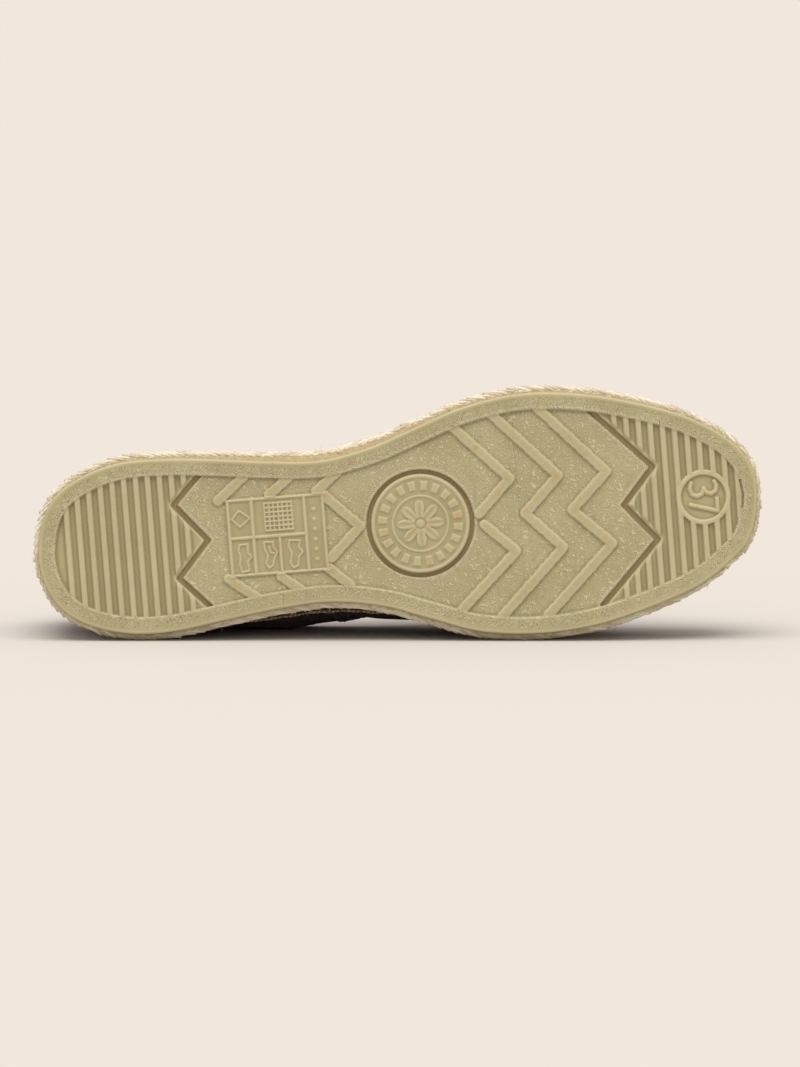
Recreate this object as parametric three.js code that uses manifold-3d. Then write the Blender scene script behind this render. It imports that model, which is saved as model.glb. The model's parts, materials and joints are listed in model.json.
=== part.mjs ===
// A rope-soled canvas slip-on shoe, left foot, size 37, lying empty on its outer side.
// Millimetres. The shoe is drawn standing: toe towards +X, the outer side of the foot towards +Y, up is +Z,
// with the rubber's ground plane at z = 0 and its heel end at x = 0. The group at the end lays it down.
import * as THREE from "three";
import { mergeVertices } from "three/addons/utils/BufferGeometryUtils.js";
import { ConvexHull } from "three/addons/math/ConvexHull.js";
import Module from "manifold-3d";

const wasm = await Module();
wasm.setup();

// Driving sizes of the sole
const SOLE_LENGTH = 246;
const BALL_WIDTH = 82;
const RUBBER_THICKNESS = 4.6;
const ROPE_THICKNESS = 14.4;
const ROPE_COURSES = 2;
const ROPE_OVERHANG = 2.5;
const WAIST_OVERHANG = 1.3;
const ROPE_BULGE = 1;
const ROPE_TAPER = 1.5;
const TOE_SPRING = 5.5;
const TOUCHING_GAP = 0.3;

// Driving sizes of the upper
const WALL = 1.6;
const SEAM_STEP = 0.6;
const HEM_WIDTH = 7;
const HEEL_HEIGHT = 55;
const INSTEP_HEIGHT = 54;
const FEATHER_OFFSET = 0.8;
const INSOLE_THICKNESS = 2.4;
const INSOLE_CLEARANCE = 0.7;

// Driving sizes of the tread
const RIM_WIDTH = 5.8;
const TREAD_DEPTH = 1.2;
const GROOVE_DEPTH = 2.2;
const GROOVE_WIDTH = 1.9;
const RELIEF_DROP = 0.15;
const ROOT_DEPTH = 0.5;
const RIB_WIDTH = 1.8;
const RIB_PITCH = 4.06;
const HEEL_RIBS = 11;
const TOE_RIBS = 11;
const RIB_CLEARANCE = 1.1;
const BAR_WIDTH = 3.2;
const BADGE_RADIUS = 16.8;
const BADGE_GROOVE = 1.6;
const SIZE_RING_RADIUS = 8.5;
const SIZE_RING_WIDTH = 1.8;
const LABEL_LINE = 1;
const ROUND_SIDES = 40;

// Materials' densities in kg per litre, for the place of the shoe's centre of mass
const RUBBER_DENSITY = 1.15;
const ROPE_DENSITY = 0.5;
const CANVAS_DENSITY = 0.55;
const FELT_DENSITY = 0.3;

// Half widths of the rubber face from the long axis, as shares of the ball width, at shares of the length
const OUTLINE = [
  { along: 0.000, outer: 0.012, inner: -0.012 },
  { along: 0.020, outer: 0.202, inner: 0.209 },
  { along: 0.060, outer: 0.296, inner: 0.307 },
  { along: 0.120, outer: 0.348, inner: 0.363 },
  { along: 0.180, outer: 0.352, inner: 0.367 },
  { along: 0.250, outer: 0.323, inner: 0.350 },
  { along: 0.330, outer: 0.291, inner: 0.322 },
  { along: 0.400, outer: 0.281, inner: 0.310 },
  { along: 0.470, outer: 0.315, inner: 0.350 },
  { along: 0.530, outer: 0.377, inner: 0.413 },
  { along: 0.600, outer: 0.449, inner: 0.485 },
  { along: 0.680, outer: 0.477, inner: 0.522 },
  { along: 0.760, outer: 0.462, inner: 0.504 },
  { along: 0.840, outer: 0.404, inner: 0.448 },
  { along: 0.910, outer: 0.329, inner: 0.372 },
  { along: 0.960, outer: 0.229, inner: 0.278 },
  { along: 0.985, outer: 0.150, inner: 0.198 },
  { along: 1.000, outer: -0.060, inner: 0.060 },
];

// Sections of the last: ridge height as a share of the instep height, ridge shift towards the big toe and
// the swell of each side past the feather line as shares of the ball width, and the roundness of the top
const LAST = [
  { along: 0.00, ridge: 1.42, shift: 0.00, outer: 0.000, inner: 0.000, power: 2.0 },
  { along: 0.04, ridge: 1.42, shift: 0.00, outer: -0.004, inner: -0.002, power: 2.0 },
  { along: 0.15, ridge: 1.42, shift: 0.00, outer: -0.008, inner: -0.004, power: 2.0 },
  { along: 0.25, ridge: 1.46, shift: 0.01, outer: 0.044, inner: 0.002, power: 2.0 },
  { along: 0.34, ridge: 1.48, shift: 0.02, outer: 0.104, inner: 0.002, power: 2.0 },
  { along: 0.42, ridge: 1.34, shift: 0.04, outer: 0.080, inner: 0.000, power: 1.95 },
  { along: 0.50, ridge: 1.12, shift: 0.06, outer: 0.036, inner: 0.000, power: 1.9 },
  { along: 0.58, ridge: 0.97, shift: 0.08, outer: 0.000, inner: -0.006, power: 1.9 },
  { along: 0.68, ridge: 0.78, shift: 0.09, outer: -0.016, inner: -0.010, power: 2.0 },
  { along: 0.78, ridge: 0.60, shift: 0.08, outer: -0.012, inner: -0.008, power: 2.2 },
  { along: 0.88, ridge: 0.45, shift: 0.06, outer: -0.006, inner: -0.004, power: 2.3 },
  { along: 0.94, ridge: 0.355, shift: 0.04, outer: 0.000, inner: 0.000, power: 2.3 },
  { along: 0.98, ridge: 0.255, shift: 0.02, outer: 0.000, inner: 0.000, power: 2.3 },
  { along: 1.00, ridge: 0.12, shift: 0.00, outer: 0.000, inner: 0.000, power: 2.3 },
];

// Collar edge from the side: shares of the sole's length, and its height above the footbed as a share of the
// heel height plus a share of the instep height
const TOPLINE = [
  { along: -0.03, heel: 1.03, instep: 0 },
  { along: 0.02, heel: 1.01, instep: 0 },
  { along: 0.08, heel: 0.96, instep: 0 },
  { along: 0.18, heel: 0.83, instep: 0 },
  { along: 0.30, heel: 0.71, instep: 0 },
  { along: 0.40, heel: 0.55, instep: 0.12 },
  { along: 0.48, heel: 0.33, instep: 0.40 },
  { along: 0.54, heel: 0.12, instep: 0.73 },
  { along: 0.573, heel: 0, instep: 1.02 },
  { along: 0.585, heel: 0, instep: 1.22 },
];

// Back of the heel from the side: how far it moves forward, as a share of the heel height
const BACK_CURVE = [
  { height: 0.00, forward: 0.00 },
  { height: 0.35, forward: -0.035 },
  { height: 0.70, forward: 0.00 },
  { height: 1.00, forward: 0.075 },
  { height: 2.00, forward: 0.34 },
];

const STATIONS = 40;
const RING_POINTS = 2 * STATIONS;
const SPRING_START = 0.75;
const WAIST_PLACE = 0.39;
const WAIST_REACH = 0.12;
const SWELL_HEIGHT = 0.44;
const SWELL_LIMIT = 25;
const HEEL_FADE = 0.36;
const FOOTBED = RUBBER_THICKNESS + TOUCHING_GAP + ROPE_THICKNESS;
const REACH = 2 * BALL_WIDTH;
const LOW_RISES = [0, 0.35, 0.7];
const HIGH_STEPS = 8;
const TOPLINE_PARTS = 40;
const SEAM_TOP = 0.43;
const SEAM_FOOT = 0.385;

// A smooth curve through one column of a table. It runs on the angle of a half turn along the shoe, so that
// the heel and toe ends come out round.
const halfTurn = (along) => Math.acos(1 - 2 * THREE.MathUtils.clamp(along, 0, 1));

function readColumn(table, column, place, keyOf) {
  const keys = table.map(keyOf);
  const values = table.map((row) => row[column]);
  const last = table.length - 1;
  const found = keys.findIndex((key, row) => row > 0 && place <= key);
  const high = found < 0 ? last : found;
  const low = high - 1;
  const slope = (row) => {
    const before = Math.max(row - 1, 0);
    const after = Math.min(row + 1, last);
    return (values[after] - values[before]) / (keys[after] - keys[before]);
  };
  const span = keys[high] - keys[low];
  const t = THREE.MathUtils.clamp((place - keys[low]) / span, 0, 1);
  const start = values[low] * (1 + 2 * t) * (1 - t) ** 2 + slope(low) * span * t * (1 - t) ** 2;
  const end = values[high] * t ** 2 * (3 - 2 * t) - slope(high) * span * t ** 2 * (1 - t);
  return start + end;
}

const alongShoe = (table, column, turn) => readColumn(table, column, turn, (row) => halfTurn(row.along));
const upHeel = (height) => readColumn(BACK_CURVE, "forward", height, (row) => row.height);

function springAt(x) {
  const start = SPRING_START * SOLE_LENGTH;
  const share = Math.max(0, (x - start) / (SOLE_LENGTH - start));
  return TOE_SPRING * share ** 2;
}

// A point given over the flat ground, lifted by the toe spring
const lifted = (x, y, z) => new THREE.Vector3(x, y, z + springAt(x));

// The rubber's edge: angle 0 is the heel end, up to a half turn is the outer side, the rest the inner side
function edgePoint(angle) {
  const whole = 2 * Math.PI;
  const wrapped = ((angle % whole) + whole) % whole;
  const onOuterSide = wrapped <= Math.PI;
  const turn = onOuterSide ? wrapped : whole - wrapped;
  const width = BALL_WIDTH * alongShoe(OUTLINE, onOuterSide ? "outer" : "inner", turn);
  return new THREE.Vector2(SOLE_LENGTH * (1 - Math.cos(turn)) / 2, onOuterSide ? width : -width);
}

const ringAngle = (index) => Math.PI * index / STATIONS;

function edgeOffset(index, offset) {
  const step = Math.PI / STATIONS / 2;
  const angle = ringAngle(index);
  const tangent = edgePoint(angle + step).sub(edgePoint(angle - step)).normalize();
  return edgePoint(angle).add(new THREE.Vector2(-tangent.y, tangent.x).multiplyScalar(offset));
}

const ringIndexes = [...Array(RING_POINTS).keys()];

// The extra width of the rope beside the waist, where it cuts the corner of the rubber's curve
function waistExtra(index) {
  const along = edgePoint(ringAngle(index)).x / SOLE_LENGTH;
  return WAIST_OVERHANG * Math.exp(-(((along - WAIST_PLACE) / WAIST_REACH) ** 2));
}

// A manifold solid from triangles over points; points that coincide are merged
function solidFrom(points, triangles) {
  const geometry = new THREE.BufferGeometry().setFromPoints(points);
  geometry.setIndex(triangles.flat());
  return solidOf(geometry);
}

function solidOf(source) {
  const geometry = source.clone();
  geometry.deleteAttribute("normal");
  geometry.deleteAttribute("uv");
  const merged = mergeVertices(geometry, 1e-4);
  const index = merged.index.array;
  const kept = [];
  for (let corner = 0; corner < index.length; corner += 3) {
    const [a, b, c] = index.slice(corner, corner + 3);
    if (a !== b && b !== c && c !== a) kept.push(a, b, c);
  }
  const vertProperties = Float32Array.from(merged.attributes.position.array);
  return new wasm.Manifold(new wasm.Mesh({ numProp: 3, vertProperties, triVerts: Uint32Array.from(kept) }));
}

// A closed solid skinned over rings that run round the sole, lowest first, with strips across it as caps
function skinRings(rings) {
  const count = rings[0].length;
  const half = count / 2;
  const triangles = [];
  for (let ring = 0; ring < rings.length - 1; ring += 1) {
    for (let index = 0; index < count; index += 1) {
      const a = ring * count + index;
      const b = ring * count + (index + 1) % count;
      triangles.push([a, a + count, b], [b, a + count, b + count]);
    }
  }
  const top = (rings.length - 1) * count;
  for (let index = 0; index < half; index += 1) {
    const far = (count - index) % count;
    const next = count - index - 1;
    triangles.push([index, index + 1, far], [index + 1, next, far]);
    triangles.push([top + index, top + far, top + index + 1], [top + index + 1, top + far, top + next]);
  }
  return solidFrom(rings.flat(), triangles);
}

// A slab with the sole's outline, moved out by an offset, between two heights over the sprung ground
function soleSlab(offset, low, high) {
  const ring = (height) => ringIndexes.map((index) => {
    const edge = edgeOffset(index, offset);
    return lifted(edge.x, edge.y, height);
  });
  return skinRings([ring(low), ring(high)]);
}

// A prism over a flat outline of plan points, lifted with the toe spring
function planPrism(route, low, high) {
  const outline = THREE.ShapeUtils.isClockWise(route) ? [...route].reverse() : route;
  const caps = THREE.ShapeUtils.triangulateShape(outline, []);
  const count = outline.length;
  const points = [low, high].flatMap((height) => outline.map((p) => lifted(p.x, p.y, height)));
  const triangles = caps.flatMap(([a, b, c]) => [[c, b, a], [a + count, b + count, c + count]]);
  for (let index = 0; index < count; index += 1) {
    const next = (index + 1) % count;
    triangles.push([index, next, next + count], [index, next + count, index + count]);
  }
  return solidFrom(points, triangles);
}

function rectangle(lowX, highX, lowY, highY) {
  const corners = [[lowX, lowY], [highX, lowY], [highX, highY], [lowX, highY]];
  return corners.map(([x, y]) => new THREE.Vector2(x, y));
}

function circle(centre, radius) {
  return [...Array(ROUND_SIDES).keys()].map((side) => {
    const angle = 2 * Math.PI * side / ROUND_SIDES;
    return new THREE.Vector2(centre.x + radius * Math.cos(angle), centre.y + radius * Math.sin(angle));
  });
}

// A ring-shaped prism about a centre, between two radii
function ringPrism(centre, inside, outside, low, high) {
  const bore = planPrism(circle(centre, inside), low - 1, high + 1);
  return planPrism(circle(centre, outside), low, high).subtract(bore);
}

// A bar or groove along a zigzag of plan points. Its section is a list of places across the width, in shares
// of the half width, with their heights.
function sweepPlan(route, width, section) {
  const stops = route.map((point, index) => {
    const before = route[Math.max(index - 1, 0)];
    const after = route[Math.min(index + 1, route.length - 1)];
    const back = point.equals(before) ? after.clone().sub(point) : point.clone().sub(before);
    const ahead = point.equals(after) ? back.clone() : after.clone().sub(point);
    const middle = back.normalize().clone().add(ahead.normalize()).normalize();
    const across = new THREE.Vector2(-middle.y, middle.x);
    return { point, across, stretch: 1 / middle.dot(ahead) };
  });
  const points = stops.flatMap(({ point, across, stretch }) => section.map(([share, height]) => {
    const out = share * stretch * width / 2;
    return lifted(point.x + across.x * out, point.y + across.y * out, height);
  }));
  const size = section.length;
  const triangles = [];
  for (let stop = 0; stop < stops.length - 1; stop += 1) {
    for (let corner = 0; corner < size; corner += 1) {
      const a = stop * size + corner;
      const b = stop * size + (corner + 1) % size;
      triangles.push([a, b, b + size], [a, b + size, a + size]);
    }
  }
  const end = (stops.length - 1) * size;
  for (let corner = 1; corner < size - 1; corner += 1) {
    triangles.push([0, corner + 1, corner], [end, end + corner, end + corner + 1]);
  }
  return solidFrom(points, triangles);
}

// Extra points on a route, so that long runs over the toe spring stay on it
function divided(route, step) {
  return route.flatMap((point, index) => {
    if (index === 0) return [point];
    const before = route[index - 1];
    const parts = Math.max(1, Math.round(before.distanceTo(point) / step));
    return [...Array(parts).keys()].map((part) => before.clone().lerp(point, (part + 1) / parts));
  });
}

// Plan points from shares of the sole's length and of the ball width; positive shares lie on the inner side
const plan = (rows) => rows.map(({ along, inner }) => {
  return new THREE.Vector2(along * SOLE_LENGTH, -inner * BALL_WIDTH);
});

// Flex grooves across the heel and the toe, and the bars between them
const HEEL_GROOVE = [
  { along: 0.240, inner: 0.320 },
  { along: 0.192, inner: 0.171 },
  { along: 0.236, inner: 0.015 },
  { along: 0.192, inner: -0.134 },
  { along: 0.241, inner: -0.290 },
];
const TOE_GROOVE = [
  { along: 0.772, inner: 0.440 },
  { along: 0.8565, inner: 0.177 },
  { along: 0.813, inner: 0.027 },
  { along: 0.8565, inner: -0.126 },
  { along: 0.774, inner: -0.380 },
];
const ZIGZAG_BARS = [
  [
    { along: 0.583, inner: 0.410 },
    { along: 0.658, inner: 0.174 },
    { along: 0.612, inner: 0.037 },
  ],
  [
    { along: 0.618, inner: -0.009 },
    { along: 0.660, inner: -0.128 },
    { along: 0.577, inner: -0.360 },
  ],
  [
    { along: 0.638, inner: 0.450 },
    { along: 0.725, inner: 0.171 },
    { along: 0.676, inner: 0.024 },
    { along: 0.725, inner: -0.128 },
    { along: 0.634, inner: -0.395 },
  ],
  [
    { along: 0.701, inner: 0.465 },
    { along: 0.792, inner: 0.171 },
    { along: 0.741, inner: 0.024 },
    { along: 0.793, inner: -0.128 },
    { along: 0.697, inner: -0.405 },
  ],
];
const WAIST_BARS = [
  [{ along: 0.254, inner: 0.176 }, { along: 0.292, inner: 0.268 }],
  [{ along: 0.325, inner: 0.183 }, { along: 0.357, inner: 0.258 }],
  [{ along: 0.390, inner: 0.183 }, { along: 0.421, inner: 0.256 }],
  [{ along: 0.260, inner: -0.152 }, { along: 0.300, inner: -0.246 }],
  [{ along: 0.333, inner: -0.159 }, { along: 0.362, inner: -0.228 }],
  [{ along: 0.400, inner: -0.140 }, { along: 0.428, inner: -0.220 }],
  [{ along: 0.400, inner: 0.165 }, { along: 0.447, inner: 0.024 }, { along: 0.404, inner: -0.098 }],
];

// The label plate's raised frame and its dividing lines, as runs between two places
const LABEL_LINES = [
  [{ along: 0.264, inner: 0.171 }, { along: 0.400, inner: 0.171 }],
  [{ along: 0.264, inner: -0.143 }, { along: 0.400, inner: -0.143 }],
  [{ along: 0.266, inner: 0.165 }, { along: 0.266, inner: -0.137 }],
  [{ along: 0.398, inner: 0.165 }, { along: 0.398, inner: -0.137 }],
  [{ along: 0.299, inner: 0.165 }, { along: 0.299, inner: -0.137 }],
  [{ along: 0.372, inner: 0.165 }, { along: 0.372, inner: -0.137 }],
  [{ along: 0.335, inner: 0.006 }, { along: 0.335, inner: -0.137 }],
  [{ along: 0.268, inner: 0.012 }, { along: 0.370, inner: 0.012 }],
];
const [BADGE_CENTRE, SIZE_RING_CENTRE] = plan([
  { along: 0.5305, inner: 0.0165 },
  { along: 0.924, inner: 0.0335 },
]);
const HEEL_RIBS_START = 0.043 * SOLE_LENGTH;
const TOE_RIBS_START = 0.808 * SOLE_LENGTH;
const ROUTE_STEP = 9;

// Section of a half-round bar that grows out of the tread's floor, and of a square groove or clearance cut
const barSection = () => {
  const crown = RELIEF_DROP;
  const floor = TREAD_DEPTH + ROOT_DEPTH;
  const shoulder = TREAD_DEPTH * 0.45;
  return [[-1, floor], [-0.92, shoulder], [-0.45, crown], [0.45, crown], [0.92, shoulder], [1, floor]];
};
const cutSection = (depth) => [[-1, depth], [-1, -1], [1, -1], [1, depth]];

// Ribs across the sole, clipped to the field inside the rim
function ribs(start, count) {
  const field = soleSlab(-RIM_WIDTH + ROOT_DEPTH, RELIEF_DROP, TREAD_DEPTH + ROOT_DEPTH);
  return [...Array(count).keys()].map((rib) => {
    const x = start + rib * RIB_PITCH;
    const bar = rectangle(x - RIB_WIDTH / 2, x + RIB_WIDTH / 2, -BALL_WIDTH, BALL_WIDTH);
    return planPrism(bar, RELIEF_DROP - 1, TREAD_DEPTH + 1).intersect(field);
  });
}

const union = (solids) => solids.reduce((whole, solid) => whole.add(solid));

function makeOutsole() {
  const lip = 1;
  const heelGroove = divided(plan(HEEL_GROOVE), ROUTE_STEP);
  const toeGroove = divided(plan(TOE_GROOVE), ROUTE_STEP);
  const field = soleSlab(-RIM_WIDTH, -lip, TREAD_DEPTH);
  const clearWidth = GROOVE_WIDTH + 2 * RIB_CLEARANCE;
  const ribEnds = (route) => sweepPlan(route, clearWidth, cutSection(TREAD_DEPTH));

  // What lies between the two flex grooves is kept free of ribs
  const middle = [REACH, -REACH].map((y) => new THREE.Vector2(SOLE_LENGTH / 2, y));
  const beyondHeel = planPrism([...plan(HEEL_GROOVE), ...middle], -lip, TREAD_DEPTH);
  const beyondToe = planPrism([...plan(TOE_GROOVE), ...middle], -lip, TREAD_DEPTH);
  const heelRibs = union(ribs(HEEL_RIBS_START, HEEL_RIBS)).subtract(beyondHeel).subtract(ribEnds(heelGroove));
  const toeRibs = union(ribs(TOE_RIBS_START, TOE_RIBS)).subtract(beyondToe).subtract(ribEnds(toeGroove))
    .subtract(planPrism(circle(SIZE_RING_CENTRE, SIZE_RING_RADIUS), -lip, TREAD_DEPTH));

  const bars = [...ZIGZAG_BARS, ...WAIST_BARS].map((route) => {
    return sweepPlan(divided(plan(route), ROUTE_STEP), BAR_WIDTH, barSection());
  });
  const lines = LABEL_LINES.map((route) => sweepPlan(plan(route), LABEL_LINE, barSection()));
  const badge = planPrism(circle(BADGE_CENTRE, BADGE_RADIUS), RELIEF_DROP, TREAD_DEPTH + ROOT_DEPTH);
  const sizeRing = ringPrism(
    SIZE_RING_CENTRE, SIZE_RING_RADIUS - SIZE_RING_WIDTH / 2, SIZE_RING_RADIUS + SIZE_RING_WIDTH / 2,
    RELIEF_DROP, TREAD_DEPTH + ROOT_DEPTH);
  const grooves = [
    sweepPlan(heelGroove, GROOVE_WIDTH, cutSection(GROOVE_DEPTH)),
    sweepPlan(toeGroove, GROOVE_WIDTH, cutSection(GROOVE_DEPTH)),
    ringPrism(BADGE_CENTRE, BADGE_RADIUS, BADGE_RADIUS + BADGE_GROOVE, -lip, GROOVE_DEPTH),
  ];
  return soleSlab(0, 0, RUBBER_THICKNESS)
    .subtract(field)
    .subtract(union(grooves))
    .add(union([heelRibs, toeRibs, ...bars, ...lines, badge, sizeRing]));
}

// The rope's side: one round swell for each course of braid, drawn in towards the feather line
function ropeProfile() {
  const swell = [0, 0.62, 0.95, 0.95, 0.62];
  const course = ROPE_THICKNESS / ROPE_COURSES;
  const rows = [...Array(ROPE_COURSES).keys()].flatMap((level) => swell.map((share, part) => {
    const rise = level + part / swell.length;
    return { height: rise * course, offset: ROPE_BULGE * (share - 1) - ROPE_TAPER * rise / ROPE_COURSES };
  }));
  return [...rows, { height: ROPE_THICKNESS, offset: -ROPE_BULGE - ROPE_TAPER }];
}

function makeMidsole() {
  const start = RUBBER_THICKNESS + TOUCHING_GAP;
  return skinRings(ropeProfile().map(({ height, offset }) => ringIndexes.map((index) => {
    const edge = edgeOffset(index, ROPE_OVERHANG + waistExtra(index) + offset);
    return lifted(edge.x, edge.y, start + height);
  })));
}

// One ring point of the last. The rise runs from 0 at the feather line, past 1 at the fullest height of the
// side, to 2 at the ridge; the inset draws the whole surface in by a wall thickness.
function lastPoint(index, rise, inset) {
  const turn = Math.min(ringAngle(index), 2 * Math.PI - ringAngle(index));
  const onOuterSide = index <= STATIONS;
  const foot = edgeOffset(index, FEATHER_OFFSET - inset);
  const across = edgeOffset((RING_POINTS - index) % RING_POINTS, FEATHER_OFFSET - inset);
  const ridge = foot.clone().add(across).multiplyScalar(0.5);
  ridge.y -= BALL_WIDTH * alongShoe(LAST, "shift", turn) * Math.sin(turn);
  const swell = BALL_WIDTH * alongShoe(LAST, onOuterSide ? "outer" : "inner", turn) * (onOuterSide ? 1 : -1);
  const height = INSTEP_HEIGHT * alongShoe(LAST, "ridge", turn) - inset;
  const fullest = Math.min(SWELL_LIMIT, SWELL_HEIGHT * height);
  const low = Math.min(rise, 1);
  const high = Math.max(rise - 1, 0) * Math.PI / 2;
  const power = 2 / alongShoe(LAST, "power", turn);
  const inward = Math.max(Math.cos(high), 0) ** power;
  const upward = Math.sin(high) ** power;
  const side = foot.y + swell * (1 - (1 - low) ** 2);
  const x = rise >= 2 ? ridge.x : ridge.x + (foot.x - ridge.x) * inward;
  const y = rise >= 2 ? ridge.y : ridge.y + (side - ridge.y) * inward;
  const z = fullest * low + (height - fullest) * upward;
  const fade = Math.max(0, 1 - x / (HEEL_FADE * SOLE_LENGTH)) ** 1.5;
  const point = lifted(x, y, FOOTBED + TOUCHING_GAP + z);
  point.x += HEEL_HEIGHT * upHeel(z / HEEL_HEIGHT) * fade;
  return point;
}

function lastSolid(inset, below) {
  const rises = [...LOW_RISES, ...[...Array(HIGH_STEPS + 1).keys()].map((step) => 1 + step / HIGH_STEPS)];
  const rings = rises.map((rise) => ringIndexes.map((index) => lastPoint(index, rise, inset)));
  const sunk = rings[0].map((point) => point.clone().setZ(point.z - below));
  return skinRings(below > 0 ? [sunk, ...rings] : rings);
}

// Side-view curve of the collar edge, heel to throat
function toplineCurve() {
  const points = TOPLINE.map(({ along, heel, instep }) => {
    return new THREE.Vector2(along * SOLE_LENGTH, FOOTBED + heel * HEEL_HEIGHT + instep * INSTEP_HEIGHT);
  });
  return new THREE.SplineCurve(points).getPoints(TOPLINE_PARTS);
}

// A prism across the whole shoe over an outline in side view
function sidePrism(outline) {
  const shape = new THREE.Shape(outline);
  const geometry = new THREE.ExtrudeGeometry(shape, { depth: 2 * REACH, bevelEnabled: false });
  geometry.rotateX(Math.PI / 2);
  geometry.translate(0, REACH, 0);
  return solidOf(geometry);
}

function openingPrism() {
  const curve = toplineCurve();
  const top = FOOTBED + 4 * HEEL_HEIGHT;
  const front = curve[curve.length - 1].x;
  return sidePrism([...curve, new THREE.Vector2(front, top), new THREE.Vector2(curve[0].x, top)]);
}

// The band under the collar edge that the turned-in hem thickens
function hemPrism() {
  const curve = toplineCurve();
  const under = curve.map((point, index) => {
    const before = curve[Math.max(index - 1, 0)];
    const after = curve[Math.min(index + 1, curve.length - 1)];
    const tangent = after.clone().sub(before).normalize();
    return new THREE.Vector2(point.x + tangent.y * HEM_WIDTH, point.y - tangent.x * HEM_WIDTH);
  });
  return sidePrism([...curve, ...under.reverse()]);
}

// The vamp, which laps over the heel quarter along a slanted seam on each side
function vampPrism() {
  const top = FOOTBED + 4 * HEEL_HEIGHT;
  const far = SOLE_LENGTH + REACH;
  const footX = SEAM_FOOT * SOLE_LENGTH;
  const seamX = SEAM_TOP * SOLE_LENGTH;
  const seamHeight = FOOTBED + HEEL_HEIGHT;
  const corners = [[footX, 0], [far, 0], [far, top], [seamX, top], [seamX, seamHeight]];
  return sidePrism(corners.map(([x, z]) => new THREE.Vector2(x, z)));
}

function makeUpper() {
  const raised = lastSolid(-SEAM_STEP, 0);
  const thickened = raised.intersect(vampPrism().add(hemPrism()));
  return lastSolid(0, 0).add(thickened).subtract(lastSolid(WALL, WALL + 1)).subtract(openingPrism());
}

function makeInsole() {
  const outline = ringIndexes.map((index) => edgeOffset(index, FEATHER_OFFSET - WALL - INSOLE_CLEARANCE));
  const low = FOOTBED + TOUCHING_GAP;
  const ring = (height) => outline.map((point) => lifted(point.x, point.y, height));
  return skinRings([ring(low), ring(low + INSOLE_THICKNESS)]);
}

// A named mesh from a solid
function pieceMesh(name, solid, look) {
  const mesh = solid.getMesh();
  const geometry = new THREE.BufferGeometry();
  geometry.setAttribute("position", new THREE.BufferAttribute(Float32Array.from(mesh.vertProperties), 3));
  geometry.setIndex(new THREE.BufferAttribute(Uint32Array.from(mesh.triVerts), 1));
  const material = new THREE.MeshStandardMaterial({ ...look, metalness: 0, flatShading: true });
  const piece = new THREE.Mesh(geometry, material);
  piece.name = name;
  return piece;
}

const RUBBER = { color: 0xb3a47a, roughness: 0.72 };
const ROPE = { color: 0xe3d8bd, roughness: 0.95 };
const CANVAS = { color: 0x4a2a3c, roughness: 0.92 };
const SOCK = { color: 0xcdbb98, roughness: 0.95 };
const PIECES = [
  { name: "outsole", solid: makeOutsole(), density: RUBBER_DENSITY, look: RUBBER },
  { name: "midsole", solid: makeMidsole(), density: ROPE_DENSITY, look: ROPE },
  { name: "upper", solid: makeUpper(), density: CANVAS_DENSITY, look: CANVAS },
  { name: "insole", solid: makeInsole(), density: FELT_DENSITY, look: SOCK },
];

// Centre of mass of a closed triangle mesh, weighted by its volume
function moment(solid) {
  const { vertProperties, triVerts } = solid.getMesh();
  const corner = (index) => new THREE.Vector3().fromArray(vertProperties, 3 * index);
  const sum = new THREE.Vector3();
  let volume = 0;
  for (let start = 0; start < triVerts.length; start += 3) {
    const [a, b, c] = [...triVerts.slice(start, start + 3)].map(corner);
    const part = a.dot(b.clone().cross(c)) / 6;
    volume += part;
    sum.addScaledVector(a.add(b).add(c), part / 4);
  }
  return { volume, sum };
}

function centreOfMass() {
  const centre = new THREE.Vector3();
  let mass = 0;
  PIECES.forEach(({ solid, density }) => {
    const { volume, sum } = moment(solid);
    mass += density * volume;
    centre.addScaledVector(sum, density);
  });
  return centre.divideScalar(mass);
}

// Laid on its outer side, the shoe settles on the face of its convex hull that lies nearest to its centre of
// mass: the rope's edge at the heel and at the ball, and the fullest place of the upper.
function restingTurn(pieces) {
  const points = pieces.flatMap((piece) => {
    const position = piece.geometry.attributes.position;
    const corner = (index) => new THREE.Vector3().fromBufferAttribute(position, index);
    return [...Array(position.count).keys()].map(corner);
  });
  const centre = centreOfMass();
  const outerSide = new THREE.Vector3(0, 1, 0);
  const hull = new ConvexHull().setFromPoints(points);
  const downward = hull.faces.filter((face) => face.normal.dot(outerSide) > Math.SQRT1_2);
  const distance = (face) => face.constant - face.normal.dot(centre);
  const rest = downward.reduce((best, face) => (distance(face) < distance(best) ? face : best));
  const up = rest.normal.clone().negate();
  const ahead = new THREE.Vector3(1, 0, 0).addScaledVector(up, -up.x).normalize();
  const away = up.clone().cross(ahead);
  return new THREE.Matrix4().makeBasis(ahead, away, up).transpose();
}

const shoe = new THREE.Group();
const pieces = PIECES.map(({ name, solid, look }) => pieceMesh(name, solid, look));
pieces.forEach((piece) => shoe.add(piece));
shoe.applyMatrix4(restingTurn(pieces));
shoe.updateMatrixWorld(true);
const box = new THREE.Box3().setFromObject(shoe, true);
const boxCentre = box.getCenter(new THREE.Vector3());
shoe.position.sub(new THREE.Vector3(boxCentre.x, boxCentre.y, box.min.z));

const espadrille = new THREE.Group();
espadrille.add(shoe);
export default espadrille;
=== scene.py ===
# Looks of a rope-soled canvas slip-on, left foot, size 37, lying empty on its outer side.
# Shapes are worked out in the shoe's own frame in millimetres: x from the heel end to the toe, y towards the
# outer side, z up from the ground that the sole would stand on. place() carries them to the row's frame.
import json
import math

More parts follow.
